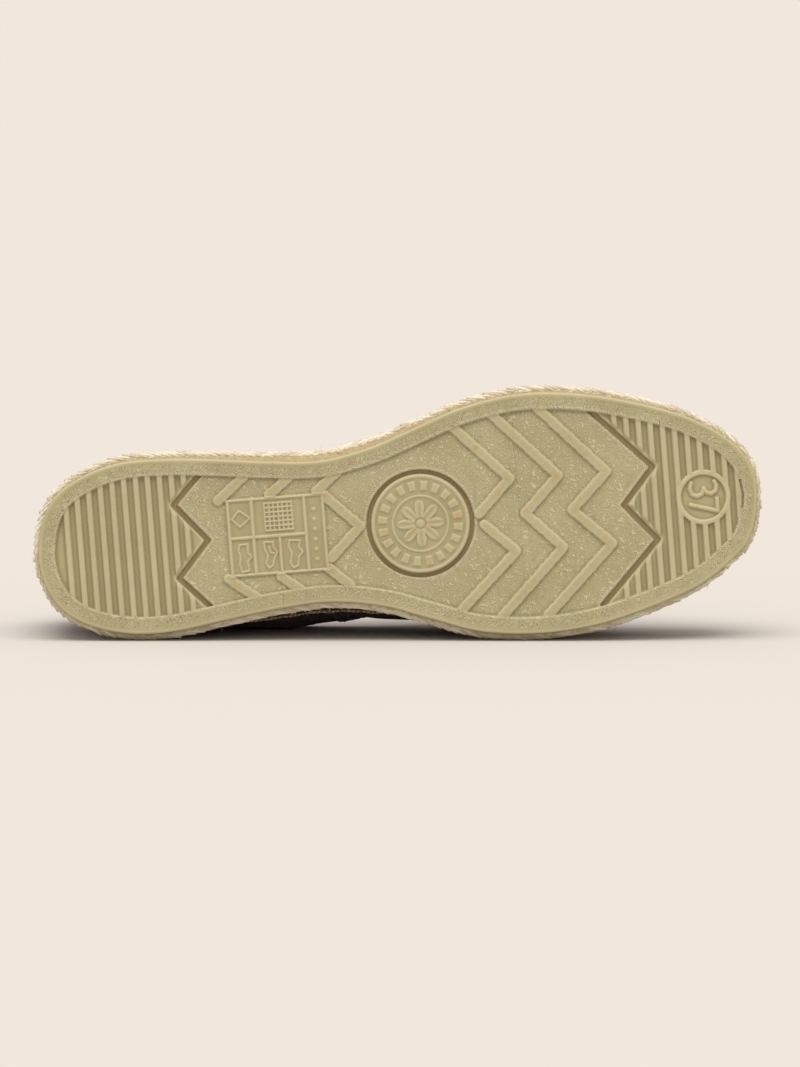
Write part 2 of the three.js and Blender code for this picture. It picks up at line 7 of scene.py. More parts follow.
import bmesh
import bpy
import numpy as np
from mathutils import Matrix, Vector


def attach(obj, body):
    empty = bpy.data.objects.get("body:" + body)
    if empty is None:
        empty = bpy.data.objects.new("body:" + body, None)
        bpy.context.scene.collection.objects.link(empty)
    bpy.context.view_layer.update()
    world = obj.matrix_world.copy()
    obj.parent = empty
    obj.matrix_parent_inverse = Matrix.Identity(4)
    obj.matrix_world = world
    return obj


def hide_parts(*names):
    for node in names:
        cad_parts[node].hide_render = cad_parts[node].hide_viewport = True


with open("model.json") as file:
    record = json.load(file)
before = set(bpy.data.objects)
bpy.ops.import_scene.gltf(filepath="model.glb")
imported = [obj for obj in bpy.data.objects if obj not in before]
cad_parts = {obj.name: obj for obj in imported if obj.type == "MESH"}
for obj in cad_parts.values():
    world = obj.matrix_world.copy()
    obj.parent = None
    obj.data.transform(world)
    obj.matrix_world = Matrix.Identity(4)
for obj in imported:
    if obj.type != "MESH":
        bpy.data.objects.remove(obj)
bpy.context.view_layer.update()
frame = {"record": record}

# Sizes of the shoe, as in the part's source
SOLE_LENGTH = 246
BALL_WIDTH = 82
RUBBER = 4.6
ROPE = 14.4
COURSES = 2
ROPE_OVERHANG = 2.5
WAIST_OVERHANG = 1.3
ROPE_BULGE = 1
ROPE_TAPER = 1.5
TOE_SPRING = 5.5
GAP = 0.3
WALL = 1.6
LAP_STEP = 0.6
HEM_WIDTH = 7
HEEL_HEIGHT = 55
INSTEP_HEIGHT = 54
FEATHER_OFFSET = 0.8
SOCK_THICKNESS = 2.4
SOCK_CLEARANCE = 0.7
RIM_WIDTH = 5.8
RIB_FLOOR = 1.2
GRAIN_FLOOR = 0.8
GROOVE_DEPTH = 2.2
GROOVE_WIDTH = 1.9
RELIEF_DROP = 0.15
RIB_WIDTH = 1.8
RIB_PITCH = 4.065
RIBS = 11
FIRST_RIBS = (10.6, 0.808 * SOLE_LENGTH)
BAR_WIDTH = 3.2
BADGE_RADIUS = 16.8
BADGE_GROOVE = 1.6
BADGE_FLOOR = 0.45
BADGE_BANDS = ((9.4, 0.45, 0.7), (16.1, 0.6, 0.6))
PETAL_FOOT = 3.0
PETAL_LENGTH = 4.9
BUTTON_RADIUS = 1.7
TICK_RADIUS = 12.9
TICKS = 20
RING_RADIUS = 8.5
RING_BAND = 1.7
RING_FLOOR = 1.0
LABEL_FLOOR = 0.62
LINE_RISE = 0.42
LATTICE_START = (77.9, 2.9)
LATTICE_PITCH = 1.55
PIP_X = 94.6
PIPS = (9.0, 5.6, 2.2, -1.2, -4.6, -8.0)
EDGE_ROUND = 0.8
SEAM_FOOT = 0.385
SEAM_LEAN = 0.045
FOOTBED = RUBBER + GAP + ROPE
STATIONS = 40
HEEL_MOUNT = 3
MOUNT_AHEAD = 162
MOUNT_INWARD = 39.9

# Rubber face: share of the length, then half widths to the outer and inner side as shares of the ball width
OUTLINE = np.array([
    (0.000, 0.012, -0.012), (0.020, 0.202, 0.209), (0.060, 0.296, 0.307), (0.120, 0.348, 0.363),
    (0.180, 0.352, 0.367), (0.250, 0.323, 0.350), (0.330, 0.291, 0.322), (0.400, 0.281, 0.310),
    (0.470, 0.315, 0.350), (0.530, 0.377, 0.413), (0.600, 0.449, 0.485), (0.680, 0.477, 0.522),
    (0.760, 0.462, 0.504), (0.840, 0.404, 0.448), (0.910, 0.329, 0.372), (0.960, 0.229, 0.278),
    (0.985, 0.150, 0.198), (1.000, -0.060, 0.060)])

# Last: share of the length, ridge height, ridge shift, outer and inner swell, roundness of the top
LAST = np.array([
    (0.00, 1.42, 0.00, 0.000, 0.000, 2.0), (0.04, 1.42, 0.00, -0.004, -0.002, 2.0),
    (0.15, 1.42, 0.00, -0.008, -0.004, 2.0), (0.25, 1.46, 0.01, 0.044, 0.002, 2.0),
    (0.34, 1.48, 0.02, 0.104, 0.002, 2.0), (0.42, 1.34, 0.04, 0.080, 0.000, 1.95),
    (0.50, 1.12, 0.06, 0.036, 0.000, 1.9), (0.58, 0.97, 0.08, 0.000, -0.006, 1.9),
    (0.68, 0.78, 0.09, -0.016, -0.010, 2.0), (0.78, 0.60, 0.08, -0.012, -0.008, 2.2),
    (0.88, 0.45, 0.06, -0.006, -0.004, 2.3), (0.94, 0.355, 0.04, 0.000, 0.000, 2.3),
    (0.98, 0.255, 0.02, 0.000, 0.000, 2.3), (1.00, 0.12, 0.00, 0.000, 0.000, 2.3)])

# Collar edge in side view: share of the length, then shares of the heel height and of the instep height
COLLAR = np.array([
    (-0.03, 1.03, 0), (0.02, 1.01, 0), (0.08, 0.96, 0), (0.18, 0.83, 0), (0.30, 0.71, 0),
    (0.40, 0.55, 0.12), (0.48, 0.33, 0.40), (0.54, 0.12, 0.73), (0.573, 0, 1.02), (0.585, 0, 1.22)])

HEEL_CURVE = np.array([(0.00, 0.00), (0.35, -0.035), (0.70, 0.00), (1.00, 0.075), (2.00, 0.34)])


def half_turn(along):
    return np.arccos(1 - 2 * np.clip(along, 0, 1))


def read_curve(keys, values, places):
    """A smooth curve through a table's column."""
    places = np.asarray(places, float)
    high = np.clip(np.searchsorted(keys, places), 1, len(keys) - 1)
    low = high - 1
    before = np.maximum(np.arange(len(keys)) - 1, 0)
    after = np.minimum(np.arange(len(keys)) + 1, len(keys) - 1)
    slope = (values[after] - values[before]) / (keys[after] - keys[before])
    span = keys[high] - keys[low]
    t = np.clip((places - keys[low]) / span, 0, 1)
    start = values[low] * (1 + 2 * t) * (1 - t) ** 2 + slope[low] * span * t * (1 - t) ** 2
    return start + values[high] * t ** 2 * (3 - 2 * t) - slope[high] * span * t ** 2 * (1 - t)


def along_shoe(table, column, turn):
    return read_curve(half_turn(table[:, 0]), table[:, column], turn)


def spring(x):
    start = 0.75 * SOLE_LENGTH
    return TOE_SPRING * np.maximum(0, (x - start) / (SOLE_LENGTH - start)) ** 2


def edge_point(angle):
    """The rubber's edge: 0 is the heel end, up to a half turn the outer side, then the inner side back."""
    wrapped = np.mod(angle, 2 * np.pi)
    outer = wrapped <= np.pi
    turn = np.where(outer, wrapped, 2 * np.pi - wrapped)
    share = np.where(outer, along_shoe(OUTLINE, 1, turn), -along_shoe(OUTLINE, 2, turn))
    return np.stack([SOLE_LENGTH * (1 - np.cos(turn)) / 2, BALL_WIDTH * share], axis=-1)


def edge_offset(angle, offset):
    step = np.pi / STATIONS / 2
    run = edge_point(angle + step) - edge_point(angle - step)
    run /= np.linalg.norm(run, axis=-1, keepdims=True)
    out = np.stack([-run[..., 1], run[..., 0]], axis=-1)
    return edge_point(angle) + out * np.asarray(offset)[..., None]


def level_ring(angles, offset, height):
    """A ring round the sole at an offset from the rubber's edge and a height that the toe spring adds to."""
    edge = edge_offset(angles, offset)
    return np.column_stack([edge, height + spring(edge[:, 0])])


def waist_extra(angle):
    along = edge_point(angle)[..., 0] / SOLE_LENGTH
    return WAIST_OVERHANG * np.exp(-((along - 0.39) / 0.12) ** 2)


def overhang(angle):
    """The rope's reach past the rubber: more at the inner waist, and drawn in round both ends."""
    along = edge_point(angle)[..., 0] / SOLE_LENGTH
    toe = smooth_step(0.84, 0.97, along)
    heel = smooth_step(0.13, 0.02, along)
    outer = smooth_step(-0.2, 0.5, np.sin(angle))
    drawn_in = (0.9 + 0.4 * outer) * toe + (0.7 + 0.4 * outer) * heel
    return ROPE_OVERHANG + waist_extra(angle) * (1 - outer) - drawn_in


def last_point(angle, rise, inset):
    """A point of the last: rise 0 at the feather line, past 1 at the fullest height, 2 at the ridge."""
    angle, rise = np.broadcast_arrays(np.asarray(angle, float), np.asarray(rise, float))
    turn = np.minimum(angle, 2 * np.pi - angle)
    outer = angle <= np.pi
    foot = edge_offset(angle, np.full(angle.shape, FEATHER_OFFSET) - inset)
    across = edge_offset(2 * np.pi - angle, np.full(angle.shape, FEATHER_OFFSET) - inset)
    ridge = (foot + across) / 2
    ridge[..., 1] -= BALL_WIDTH * along_shoe(LAST, 2, turn) * np.sin(turn)
    swell = BALL_WIDTH * np.where(outer, along_shoe(LAST, 3, turn), -along_shoe(LAST, 4, turn))
    height = INSTEP_HEIGHT * along_shoe(LAST, 1, turn) - inset
    fullest = np.minimum(25, 0.44 * height)
    low = np.minimum(rise, 1)
    high = np.clip(rise - 1, 0, 1) * np.pi / 2
    inward = np.maximum(np.cos(high), 0) ** (2 / along_shoe(LAST, 5, turn))
    upward = np.sin(high) ** (2 / along_shoe(LAST, 5, turn))
    side = foot[..., 1] + swell * (1 - (1 - low) ** 2)
    x = ridge[..., 0] + (foot[..., 0] - ridge[..., 0]) * inward
    y = ridge[..., 1] + (side - ridge[..., 1]) * inward
    z = fullest * low + (height - fullest) * upward
    fade = np.maximum(0, 1 - x / (0.36 * SOLE_LENGTH)) ** 1.5
    moved = x + HEEL_HEIGHT * read_curve(HEEL_CURVE[:, 0], HEEL_CURVE[:, 1], z / HEEL_HEIGHT) * fade
    return np.stack([moved, y, FOOTBED + GAP + z + spring(x)], axis=-1)


def collar_line():
    """The collar's edge in side view, as the source draws it."""
    ends = COLLAR[[0, *range(len(COLLAR)), len(COLLAR) - 1]]
    points = np.stack([ends[:, 0] * SOLE_LENGTH,
                       FOOTBED + ends[:, 1] * HEEL_HEIGHT + ends[:, 2] * INSTEP_HEIGHT], axis=1)
    line = []
    for share in np.linspace(0, len(COLLAR) - 1, 41):
        row = min(int(share), len(COLLAR) - 2)
        t = share - row
        a, b, c, d = points[row:row + 4]
        v0, v1 = (c - a) / 2, (d - b) / 2
        line.append((2 * b - 2 * c + v0 + v1) * t ** 3 + (-3 * b + 3 * c - 2 * v0 - v1) * t ** 2 + v0 * t + b)
    return np.array(line)


def shoe_axes():
    """The shoe's own directions and start in the row's frame, from the two mounts on the tread's rim: the
    second lies MOUNT_AHEAD millimetres further to the toe and MOUNT_INWARD further in."""
    mounts = {mount["name"]: mount for mount in frame["record"]["mounts"]}
    heel, ball = (np.array(mounts[name]["pos_m"]) for name in ("heel_rim", "ball_rim"))
    up = -np.array(mounts["heel_rim"]["axis"])
    up /= np.linalg.norm(up)
    run = ball - heel
    run -= up * run.dot(up)
    side = np.cross(up, run)
    ahead = MOUNT_AHEAD * run + MOUNT_INWARD * side
    outward = MOUNT_AHEAD * side - MOUNT_INWARD * run
    ahead /= np.linalg.norm(ahead)
    outward /= np.linalg.norm(outward)
    return ahead, outward, up, heel - HEEL_MOUNT / 1000 * ahead


AHEAD, OUTWARD, UP, START = shoe_axes()


def place(points):
    """Shoe millimetres to metres in the row's frame, resting on the floor."""
    points = np.asarray(points, float) / 1000
    world = START + points[..., :1] * AHEAD + points[..., 1:2] * OUTWARD + points[..., 2:] * UP
    world[..., 2] = np.maximum(world[..., 2], 0)
    return world


def turned(vectors):
    vectors = np.asarray(vectors, float)
    return vectors[..., :1] * AHEAD + vectors[..., 1:2] * OUTWARD + vectors[..., 2:] * UP


def smooth_step(low, high, values):
    t = np.clip((values - low) / (high - low), 0, 1)
    return t * t * (3 - 2 * t)


def srgb(red, green, blue):
    """A colour read off a screen, as the shader's linear numbers."""
    shares = [value / 255 for value in (red, green, blue)]
    return (*[c / 12.92 if c <= 0.04045 else ((c + 0.055) / 1.055) ** 2.4 for c in shares], 1)


def make_mesh(name, points, faces, material=None, values=None):
    """A smooth mesh object from placed points, with named numbers or vectors at its points."""
    mesh = bpy.data.meshes.new(name)
    mesh.from_pydata(np.asarray(points).tolist(), [], [list(map(int, face)) for face in faces])
    mesh.polygons.foreach_set("use_smooth", [True] * len(mesh.polygons))
    for key, data in (values or {}).items():
        data = np.asarray(data, np.float32)
        kind, field = ("FLOAT_VECTOR", "vector") if data.ndim == 2 else ("FLOAT", "value")
        mesh.attributes.new(key, kind, "POINT").data.foreach_set(field, data.ravel())
    if material:
        mesh.materials.append(material)
    mesh.validate()
    return linked(name, mesh)


def linked(name, data):
    """A new object in the scene that holds the data."""
    made = bpy.data.objects.new(name, data)
    bpy.context.scene.collection.objects.link(made)
    return made


class Signal:
    """One output of a node, which can be added to and multiplied."""

    def __init__(self, socket):
        self.socket = socket
        self.tree = socket.id_data

    def maths(self, operation, *others):
        return node(self.tree, "ShaderNodeMath", dict(enumerate((self, *others))), operation=operation)

    def __mul__(self, other):
        return self.maths("MULTIPLY", other)

    def __add__(self, other):
        return self.maths("ADD", other)


def feed(made, inputs):
    """Gives a node's inputs numbers, or joins them to other nodes' outputs."""
    for name, value in inputs.items():
        if isinstance(value, Signal):
            value.tree.links.new(value.socket, made.inputs[name])
        else:
            made.inputs[name].default_value = value


def node(tree, kind, inputs=None, out=0, **settings):
    """Adds a node, sets it up and feeds it, and gives back one of its outputs."""
    made = tree.nodes.new(kind)
    for name, value in settings.items():
        setattr(made, name, value)
    feed(made, inputs or {})
    return Signal(made.outputs[out]) if len(made.outputs) else None


def between(value, low, high, first=0.0, last=1.0):
    return node(value.tree, "ShaderNodeMapRange",
                {"Value": value, "From Min": low, "From Max": high, "To Min": first, "To Max": last},
                interpolation_type="SMOOTHSTEP")


def blend(share, first, second):
    return node(share.tree, "ShaderNodeMix", {0: share, 6: first, 7: second}, out=2, data_type="RGBA")


def noise(where, scale, detail=2.0, rough=0.5):
    return node(where.tree, "ShaderNodeTexNoise",
                {"Vector": where, "Scale": scale, "Detail": detail, "Roughness": rough}, out="Fac")


def attribute(tree, name, out="Fac"):
    return node(tree, "ShaderNodeAttribute", out=out, attribute_name=name)


def vector(tree, x=0.0, y=0.0, z=0.0):
    return node(tree, "ShaderNodeCombineXYZ", {0: x, 1: y, 2: z})


def split(whole):
    made = whole.tree.nodes.new("ShaderNodeSeparateXYZ")
    feed(made, {0: whole})
    return [Signal(socket) for socket in made.outputs]


def new_material(name):
    """A material, its tree, and the place on the piece."""
    material = bpy.data.materials.new(name)
    material.use_nodes = True
    tree = material.node_tree
    return material, tree, node(tree, "ShaderNodeTexCoord", out="Object")


def dress(tree, colour, rough, specular=0.5, sheen=0.0, sheen_rough=0.5, height=None, depth=0.0003,
          strength=1.0):
    """Joins a colour, the surface's numbers and a small relief to the tree's shader."""
    shader = tree.nodes["Principled BSDF"]
    feed(shader, {"Base Color": colour, "Roughness": rough, "Specular IOR Level": specular,
                  "Sheen Weight": sheen, "Sheen Roughness": sheen_rough})
    if height:
        feed(shader, {"Normal": node(tree, "ShaderNodeBump",
                                     {"Height": height, "Distance": depth, "Strength": strength})})


def rubber_material():
    material, tree, where = new_material("tread_rubber")
    grain, groove, crest, rim, hatch, hollow, bead, nook_shade, wear_and_highlight = (attribute(tree, name) for name in (
        "grain", "groove", "crest", "rim", "hatch", "hollow", "bead", "nook_shade", "edge_wear_and_highlight"))
    cloud = noise(where, 70, 4)
    speck = noise(where, 1700)

    # Moulded grain: short winding ridges on the field, a slanting hatch on the rim, and a fine skin
    x, _, z = split(where)
    phase = noise(where, 290) * 44.0 + (z * 0.6 + x) * 3400.0
    worm = between(phase.maths("SINE"), 0.25, 0.85) * between(noise(where, 620, 1), 0.30, 0.42)
    skinned = (noise(where, 1250, 1) * 0.18 + worm * 0.8) * (rim * 0.6 + grain)
    wander = (noise(where, 300) * 4.0 + hatch) * 4.6
    hatching = between(wander.maths("SINE"), 0.0, 0.8) * between(noise(where, 520, 1), 0.40, 0.56) * rim

    # Tones laid one over another, from the raised skin down to the grooves and the flecks, some of them
    # painted light: painted highlights on the grain, the hatch, the crests, the bead and the edges (the
    # crests and edges partly also polish and wear), and painted shade in the nooks and the grooves
    tone = blend(between(cloud, 0.3, 0.7), srgb(165, 157, 117), srgb(175, 168, 129))
    stain = between(noise(where, 170, 3, 0.6), 0.54, 0.70) * between(crest, 0.1, 0.5, 0.08, 0.55)
    for share, colour in (
            # painted highlight: the grain's ridges and the rim's hatch are painted lighter
            (skinned.maths("MAXIMUM", hatching) * 0.75, (205, 199, 166)),
            # painted highlight, partly also polish: the crests and the rim's bead are painted lighter
            (crest.maths("MAXIMUM", bead) * 0.7, (188, 181, 144)), (hollow * 0.5, (176, 168, 127)),
            # the stains are the rubber's own; the edges are lighter for wear and as a painted highlight, the
            # nooks darker as painted shade
            (stain, (184, 146, 94)), (wear_and_highlight * 0.32, (210, 204, 176)), (nook_shade * 0.42, (112, 100, 66)),
            # painted shade: the grooves are painted darker
            (groove, (152, 137, 98)), (between(speck, 0.35, 0.65, 0.0, 0.06), (140, 130, 92))):
        tone = blend(share, tone, srgb(*colour))
    height = hatching * 0.8 + skinned + speck * 0.08 + noise(where, 320, 3) * 0.3
    dress(tree, tone, between(cloud, 0.2, 0.8, 0.50, 0.66), 0.35, height=height)
    return material


def jute_material(name, light, dark, streak=True):
    material, tree, where = new_material(name)
    tone = attribute(tree, "tone")
    if streak:
        strand, around, along = (attribute(tree, key) for key in ("strand", "around", "along"))
        fibres = noise(vector(tree, around * 40.0, along * 2.2, strand * 40.0), 1.0, 3, 0.65)
    else:
        fibres = noise(where, 900.0, 3, 0.65)
    base = blend(between(tone * 0.45 + fibres * 0.75, 0.3, 0.8), srgb(*dark), srgb(*light))
    aged = blend(between(noise(where, 55, 3), 0.58, 0.76, 0.0, 0.35), base, srgb(190, 162, 112))
    dress(tree, aged, 0.86, 0.2, 0.25, height=noise(where, 1900, 3) * 0.35 + fibres, strength=0.8)
    return material


def weave_material(name, light, dark, pitch, sheen, depth=0.00012):
    """Plain weave drawn on the piece's own map, whose numbers are millimetres along and up the cloth."""
    material, tree, where = new_material(name)
    light, dark = srgb(*light), srgb(*dark)
    along, up, _ = split(attribute(tree, "cloth", "Vector"))
    bend = noise(where, 420) * 0.35 + -0.17
    warp, weft = (((way + bend) * (math.pi / pitch)).maths("SINE") for way in (along, up))
    threads = (warp * weft).maths("ABSOLUTE")
    slubs = [noise(vector(tree, along * a, up * b), 1.0, 2, 0.55) for a, b in ((0.16, 2.6), (2.6, 0.16))]
    slub = (slubs[0] + slubs[1]) * 0.5
    base = blend(between(threads * 0.40 + slub * 0.85, 0.25, 0.9), dark, light)
    faded = blend(between(noise(where, 26), 0.5, 0.8, 0.0, 0.18), base, light)
    rubbed = blend(attribute(tree, "crease") * 0.5, faded, light)
    dress(tree, rubbed, 0.9, 0.18, sheen, 0.45, slub * 1.4 + threads, depth)
    return material


def thread_material(name, light, dark):
    material, tree, _ = new_material(name)
    ply = (attribute(tree, "along") * 30.0 + attribute(tree, "around") * math.tau).maths("SINE")
    base = blend(between(ply, -1, 0.6), srgb(*dark), srgb(*light))
    dress(tree, base, 0.75, sheen=0.3, height=ply, depth=0.00008, strength=0.8)
    return material


# The tread's features, in millimetres from the heel end and towards the inner side
def plan(rows):
    return np.array([(along * SOLE_LENGTH, -inner * BALL_WIDTH) for along, inner in rows])


def spots(rows):
    return np.array([(x, -inner) for x, inner in rows], float)


HEEL_GROOVE = plan([(0.240, 0.320), (0.192, 0.171), (0.236, 0.015), (0.192, -0.134), (0.241, -0.290)])
TOE_GROOVE = plan([(0.772, 0.440), (0.8565, 0.177), (0.813, 0.027), (0.8565, -0.126), (0.774, -0.380)])
BARS = [plan(rows) for rows in (
    [(0.583, 0.410), (0.658, 0.174), (0.612, 0.037)],
    [(0.618, -0.009), (0.660, -0.128), (0.577, -0.360)],
    [(0.638, 0.450), (0.725, 0.171), (0.676, 0.024), (0.725, -0.128), (0.634, -0.395)],
    [(0.701, 0.465), (0.792, 0.171), (0.741, 0.024), (0.793, -0.128), (0.697, -0.405)],
    [(0.254, 0.176), (0.292, 0.268)], [(0.325, 0.183), (0.357, 0.258)], [(0.390, 0.183), (0.421, 0.256)],
    [(0.260, -0.152), (0.300, -0.246)], [(0.333, -0.159), (0.362, -0.228)],
    [(0.400, -0.140), (0.428, -0.220)], [(0.400, 0.165), (0.447, 0.024), (0.404, -0.098)])]
LABEL_LINES = [plan(rows) for rows in (
    [(0.264, 0.171), (0.400, 0.171)], [(0.264, -0.143), (0.400, -0.143)],
    [(0.266, 0.171), (0.266, -0.143)], [(0.398, 0.171), (0.398, -0.143)],
    [(0.299, 0.165), (0.299, -0.137)], [(0.372, 0.165), (0.372, -0.137)],
    [(0.335, 0.006), (0.335, -0.137)], [(0.268, 0.012), (0.370, 0.012)])]
BADGE_CENTRE, RING_CENTRE = plan([(0.5305, 0.0165), (0.924, 0.0335)])

# Plain shoe outlines of the care label's lower cells, and its diamond
LABEL_DRAWINGS = [spots(rows) for rows in (
    [(69.2, 10.4), (72.8, 7.6), (69.2, 4.8), (66.6, 7.6), (69.2, 10.4)],
    [(68.6, -1.2), (71.4, -1.2), (71.2, -4.2), (72.4, -5.6), (71.0, -7.0), (71.2, -10.2), (68.8, -10.6),
     (68.2, -8.0), (68.6, -5.0), (68.0, -3.2), (68.6, -1.2)],
    [(77.0, -0.9), (80.0, -1.1), (80.0, -3.0), (81.2, -4.6), (80.2, -6.2), (79.4, -9.0), (78.0, -9.8),
     (77.2, -8.2), (78.0, -5.6), (77.0, -3.0), (77.0, -0.9)],
    [(78.6, -2.6), (79.0, -4.6), (80.0, -4.9)],
    [(85.6, -0.9), (89.2, -1.2), (88.6, -3.4), (89.8, -5.2), (88.4, -6.8), (88.0, -9.6), (86.4, -10.4),
     (85.4, -8.6), (86.2, -5.6), (85.2, -3.0), (85.6, -0.9)])]

# The size number in the toe ring: its tops point to the toe
DIGITS = [spots(rows) for rows in (
    [(231.4, 7.9), (232.0, 6.4), (231.6, 4.6), (230.1, 3.7), (228.4, 4.3), (227.6, 5.7)],
    [(227.6, 5.7), (226.9, 3.9), (225.1, 3.2), (223.4, 4.0), (222.8, 5.9), (223.4, 7.9)],
    [(231.9, 1.9), (231.9, -2.3), (222.8, 0.4)])]
TOE_SLIT = spots([(240.3, 7.6), (240.9, 2.5), (240.4, -1.8)])


def distance_to(route, points):
    """Distance from each plan point to a route, and how far along it the nearest place lies."""
    best = np.full(len(points), 1e9)
    run = np.zeros(len(points))
    start = 0.0
    for a, b in zip(route[:-1], route[1:]):
        reach = b - a
        length = np.hypot(*reach)
        share = np.clip(((points - a) @ reach) / length ** 2, 0, 1)
        gap = np.hypot(*(points - a - share[:, None] * reach).T)
        near = gap < best
        best = np.where(near, gap, best)
        run = np.where(near, start + share * length, run)
        start += length
    return best, run


def x_on(route, y):
    order = np.argsort(route[:, 1])
    return np.interp(y, route[order, 1], route[order, 0])


def rounded(distance, half_width, power=0.5):
    return np.clip(1 - (distance / half_width) ** 2, 0, 1) ** power


def plateau(distance, half_width, soft):
    return 1 - smooth_step(half_width - soft, half_width + soft, distance)


def blended(values, share, other):
    return values * (1 - share) + other * share


def nearest_route(routes, points, near=slice(None)):
    """Distance from each plan point to the nearest of some routes, worked out for the near points only."""
    found = np.full(len(points), 9.0)
    for route in routes:
        found[near] = np.minimum(found[near], distance_to(route, points[near])[0])
    return found


def label_relief(points):
    """The label frame: its plate, the relief on it, and the distance to its lines."""
    x, y = points.T
    lines = nearest_route(LABEL_LINES, points)
    plate = (smooth_step(64.4, 65.2, x) * smooth_step(98.8, 98.0, x)
             * smooth_step(-14.6, -13.9, y) * smooth_step(12.3, 11.6, y))
    drawn = nearest_route(LABEL_DRAWINGS, points, (np.abs(x - 82) < 20) & (np.abs(y) < 16))
    relief = np.maximum(rounded(lines, 0.62), 0.75 * rounded(drawn, 0.42))
    woven = (x > 77.6) & (x < 87.6) & (y < -2.6) & (y > -12.6)
    for way in ((x - LATTICE_START[0]) / LATTICE_PITCH, (-y - LATTICE_START[1]) / LATTICE_PITCH):
        relief = np.maximum(relief, woven * 0.85 * rounded((way - np.round(way)) * LATTICE_PITCH, 0.36))
    for centre in PIPS:
        relief = np.maximum(relief, 0.7 * rounded(np.hypot(x - PIP_X, y + centre), 0.8))
    return plate, relief, lines


def badge_relief(points):
    """The round badge, a rosette in a ring of plain ticks: distance from its middle, its disc, its relief."""
    x, y = (points - BADGE_CENTRE).T
    radius, bearing = np.hypot(x, y), np.arctan2(y, x)
    disc = plateau(radius, BADGE_RADIUS, 0.25)
    petal_reach = PETAL_FOOT + PETAL_LENGTH * np.abs(np.cos(4 * bearing)) ** 0.7
    rosette = smooth_step(0.5, -0.3, radius - petal_reach) * smooth_step(1.7, 2.3, radius)
    vein = smooth_step(0.30, 0.10, np.abs(np.cos(8 * bearing) - 1) * radius * 0.12)
    slot = (bearing / (2 * np.pi) * TICKS) % 1 - 0.5
    ticks = plateau(np.abs(slot) * 2 * np.pi * TICK_RADIUS / TICKS, 1.15, 0.25)
    ticks *= plateau(np.abs(radius - TICK_RADIUS), 1.55, 0.25)
    bands = sum(rounded(radius - middle, half_width) * rise for middle, half_width, rise in BADGE_BANDS)
    petals = rosette * (0.85 - 0.35 * vein)
    button = rounded(radius, BUTTON_RADIUS, 0.6)
    return radius, disc, np.maximum.reduce([petals, button, ticks * 0.85, bands])


